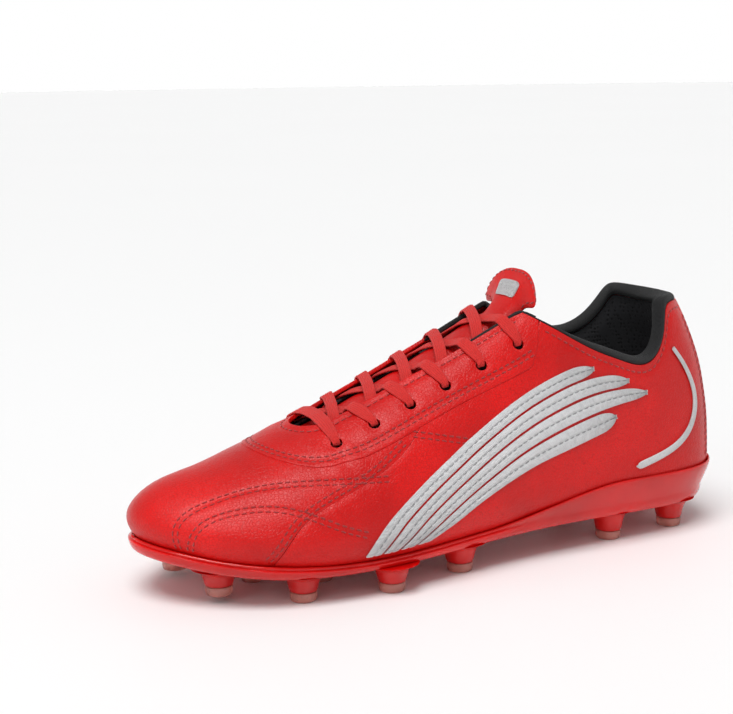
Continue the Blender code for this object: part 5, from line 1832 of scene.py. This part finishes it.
class CLEAT_OT_inside(bpy.types.Operator):
    """Footbed, and the finish of the parts between leather and lining"""

    bl_idname = "cleat.inside"
    bl_label = "Inner parts"

    def execute(self, context):
        keep(self.footbed(), finish("footbed"), ["sockliner"])
        finishes = {"heel_counter": "stiffener", "toe_puff": "stiffener",
                    "insole_board": "board", "vamp_lining": "mesh"}
        for node, name in finishes.items():
            for slot in bpy.data.objects[node].material_slots:
                slot.material = finish(name)
        return {"FINISHED"}

    def footbed(self):
        """A cupped sheet that fills the shoe's floor."""
        x = outline(np.linspace(0, TOE_S, 160)[1:-1])[:, 0]
        x = x[(x > 2.7) & (x < 276.5)]
        lateral, medial = (skin(s_of(x, side), h_at_z(s_of(x, side), base_z(x) + 5.6),
                                LINING + 1.55)[:, :2] for side in (1, -1))
        e = np.sin(np.linspace(-1, 1, 41) * math.pi / 2)[None, :, None]
        plan_points = (lateral[:, None] + medial[:, None]) / 2 + (lateral - medial)[:, None] / 2 * e
        ends = smooth(np.minimum((x - 2.4) * 8.0, 276.5 - x) / 7.0)[:, None]
        rim = np.sqrt(np.clip(1 - np.abs(e[..., 0]) ** 14, 0, 1)) * np.sqrt(ends)
        cup = 1.3 * smooth((np.abs(e[..., 0]) - 0.45) / 0.5) * smooth((170 - x) / 60)[:, None]
        z = base_z(x)[:, None] + 4.4 + (1.5 + cup) * rim
        points = np.concatenate([plan_points, z[..., None]], -1)
        piece = grid_piece("footbed_sheet", points, core_z=-500.0)
        thicken(piece, 1.6)
        shade(piece, 50)
        return piece


# ---- stage ----
VIEW_AZIMUTH, VIEW_ELEVATION, VIEW_ROLL = 152.0, 13.8, -0.005
FOCAL_RATIO = 1575 / 733  # focal length over frame width
AIM_POINT = (142.0, 0.0, 50.0)  # design millimetres
AIM_OFFSET = (70.5 / 1575, -84.0 / 1575)  # where the aim point stands off the view's axis
VIEW_DISTANCE = 0.700


class CLEAT_OT_stage(bpy.types.Operator):
    """Pale floor, soft lights and the camera"""

    bl_idname = "cleat.stage"
    bl_label = "Stage"

    def execute(self, context):
        radii = (12000, 6500, 4000, 2400, 1400, 800, 400, 200, 80, 20, 0)
        floor = turned("pale_floor", [(r, 0.0) for r in radii], 96, cap=False)
        shade(floor, 80)
        floor.data.materials.append(floor_paper((0.93, 0.93, 0.93)))
        self.sun("key_light", (0.30, 0.28, 1.0), 34.0, 2.25)
        self.lamp("toe_light", (1.5, 0.7, 0.9), 0.7, 2.5)
        self.air(context, dome=0.40, horizon=1.0)
        context.scene.view_settings.view_transform = "Standard"
        self.camera(context)
        return {"FINISHED"}

    def sun(self, name, towards, spread, strength):
        """A far broad light that falls evenly over the whole floor."""
        deselect()
        bpy.ops.object.light_add(type="SUN", location=towards)
        light = bpy.context.object
        light.name = light.data.name = name
        light.data.angle, light.data.energy = math.radians(spread), strength
        light.rotation_euler = (-Vector(towards)).to_track_quat("-Z", "Y").to_euler()

    def lamp(self, name, at, width, power):
        """A near round soft box, turned to the shoe."""
        deselect()
        bpy.ops.object.light_add(type="AREA", location=at)
        light = bpy.context.object
        light.name = light.data.name = name
        light.data.shape, light.data.size, light.data.energy = "DISK", width, power
        light.rotation_euler = (Vector((0, 0, 0.05)) - Vector(at)).to_track_quat("-Z", "Y").to_euler()

    def air(self, context, dome, horizon):
        """Plain white all round: bright at the horizon, dimmer overhead."""
        world = bpy.data.worlds.new("studio_air")
        world.use_nodes = True
        tree = world.node_tree
        way = tree.nodes.new("ShaderNodeTexCoord")
        split = tree.nodes.new("ShaderNodeSeparateXYZ")
        level = tree.nodes.new("ShaderNodeMapRange")
        for key, value in {"From Min": 0.06, "From Max": 0.30, "To Min": horizon,
                           "To Max": dome}.items():
            level.inputs[key].default_value = value
        back = tree.nodes["Background"]
        back.inputs["Color"].default_value = (1, 1, 1, 1)
        tree.links.new(way.outputs["Generated"], split.inputs[0])
        tree.links.new(split.outputs["Z"], level.inputs["Value"])
        tree.links.new(level.outputs["Result"], back.inputs["Strength"])
        context.scene.world = world

    def camera(self, context):
        a, e = math.radians(VIEW_AZIMUTH), math.radians(VIEW_ELEVATION)
        back = Vector((math.sin(a) * math.cos(e), -math.cos(a) * math.cos(e), math.sin(e)))
        right = Vector((0, 0, 1)).cross(back).normalized()
        look_at = Matrix((right, back.cross(right), back)).transposed()
        aim = Vector((*AIM_OFFSET, -1.0)).normalized()
        turn = aim.rotation_difference(Vector((0, 0, -1))).to_matrix()
        rotation = look_at @ Matrix.Rotation(VIEW_ROLL, 3, "Z") @ turn
        eye = Vector(place(AIM_POINT)) + back * VIEW_DISTANCE
        deselect()
        bpy.ops.object.camera_add(location=eye)
        camera = bpy.context.object
        camera.name = camera.data.name = "studio_camera"
        camera.rotation_euler = rotation.to_euler()
        camera.data.sensor_width = 36.0
        camera.data.lens = 36.0 * FOCAL_RATIO
        camera.data.clip_start, camera.data.clip_end = 0.05, 20.0
        context.scene.camera = camera


# ---- the add-on ----
STEPS = (CLEAT_OT_leather, CLEAT_OT_facing, CLEAT_OT_bands, CLEAT_OT_stitching, CLEAT_OT_tongue,
         CLEAT_OT_collar, CLEAT_OT_laces, CLEAT_OT_sole, CLEAT_OT_tips, CLEAT_OT_inside,
         CLEAT_OT_stage)


class CLEAT_PT_sidebar(bpy.types.Panel):
    """Sizes, colours and the steps in their order"""

    bl_idname = "CLEAT_PT_sidebar"
    bl_label = "Soccer Cleat"
    bl_space_type = "VIEW_3D"
    bl_region_type = "UI"
    bl_category = "Cleat"

    def draw(self, context):
        for group in (context.scene.cleat_sizes, context.scene.cleat_colours):
            box = self.layout.box()
            for key in group.bl_rna.properties.keys():
                if key not in ("rna_type", "name"):
                    box.prop(group, key)
        for step in STEPS:
            self.layout.operator(step.bl_idname)


CLASSES = (CleatSizes, CleatColours, *STEPS, CLEAT_PT_sidebar)


def register():
    for item in CLASSES:
        bpy.utils.register_class(item)
    bpy.types.Scene.cleat_sizes = bpy.props.PointerProperty(type=CleatSizes)
    bpy.types.Scene.cleat_colours = bpy.props.PointerProperty(type=CleatColours)


def unregister():
    del bpy.types.Scene.cleat_colours
    del bpy.types.Scene.cleat_sizes
    for item in reversed(CLASSES):
        bpy.utils.unregister_class(item)


def main():
    register()
    for step in STEPS:
        getattr(bpy.ops.cleat, step.bl_idname.split(".")[1])()


if __name__ == "__main__":
    main()
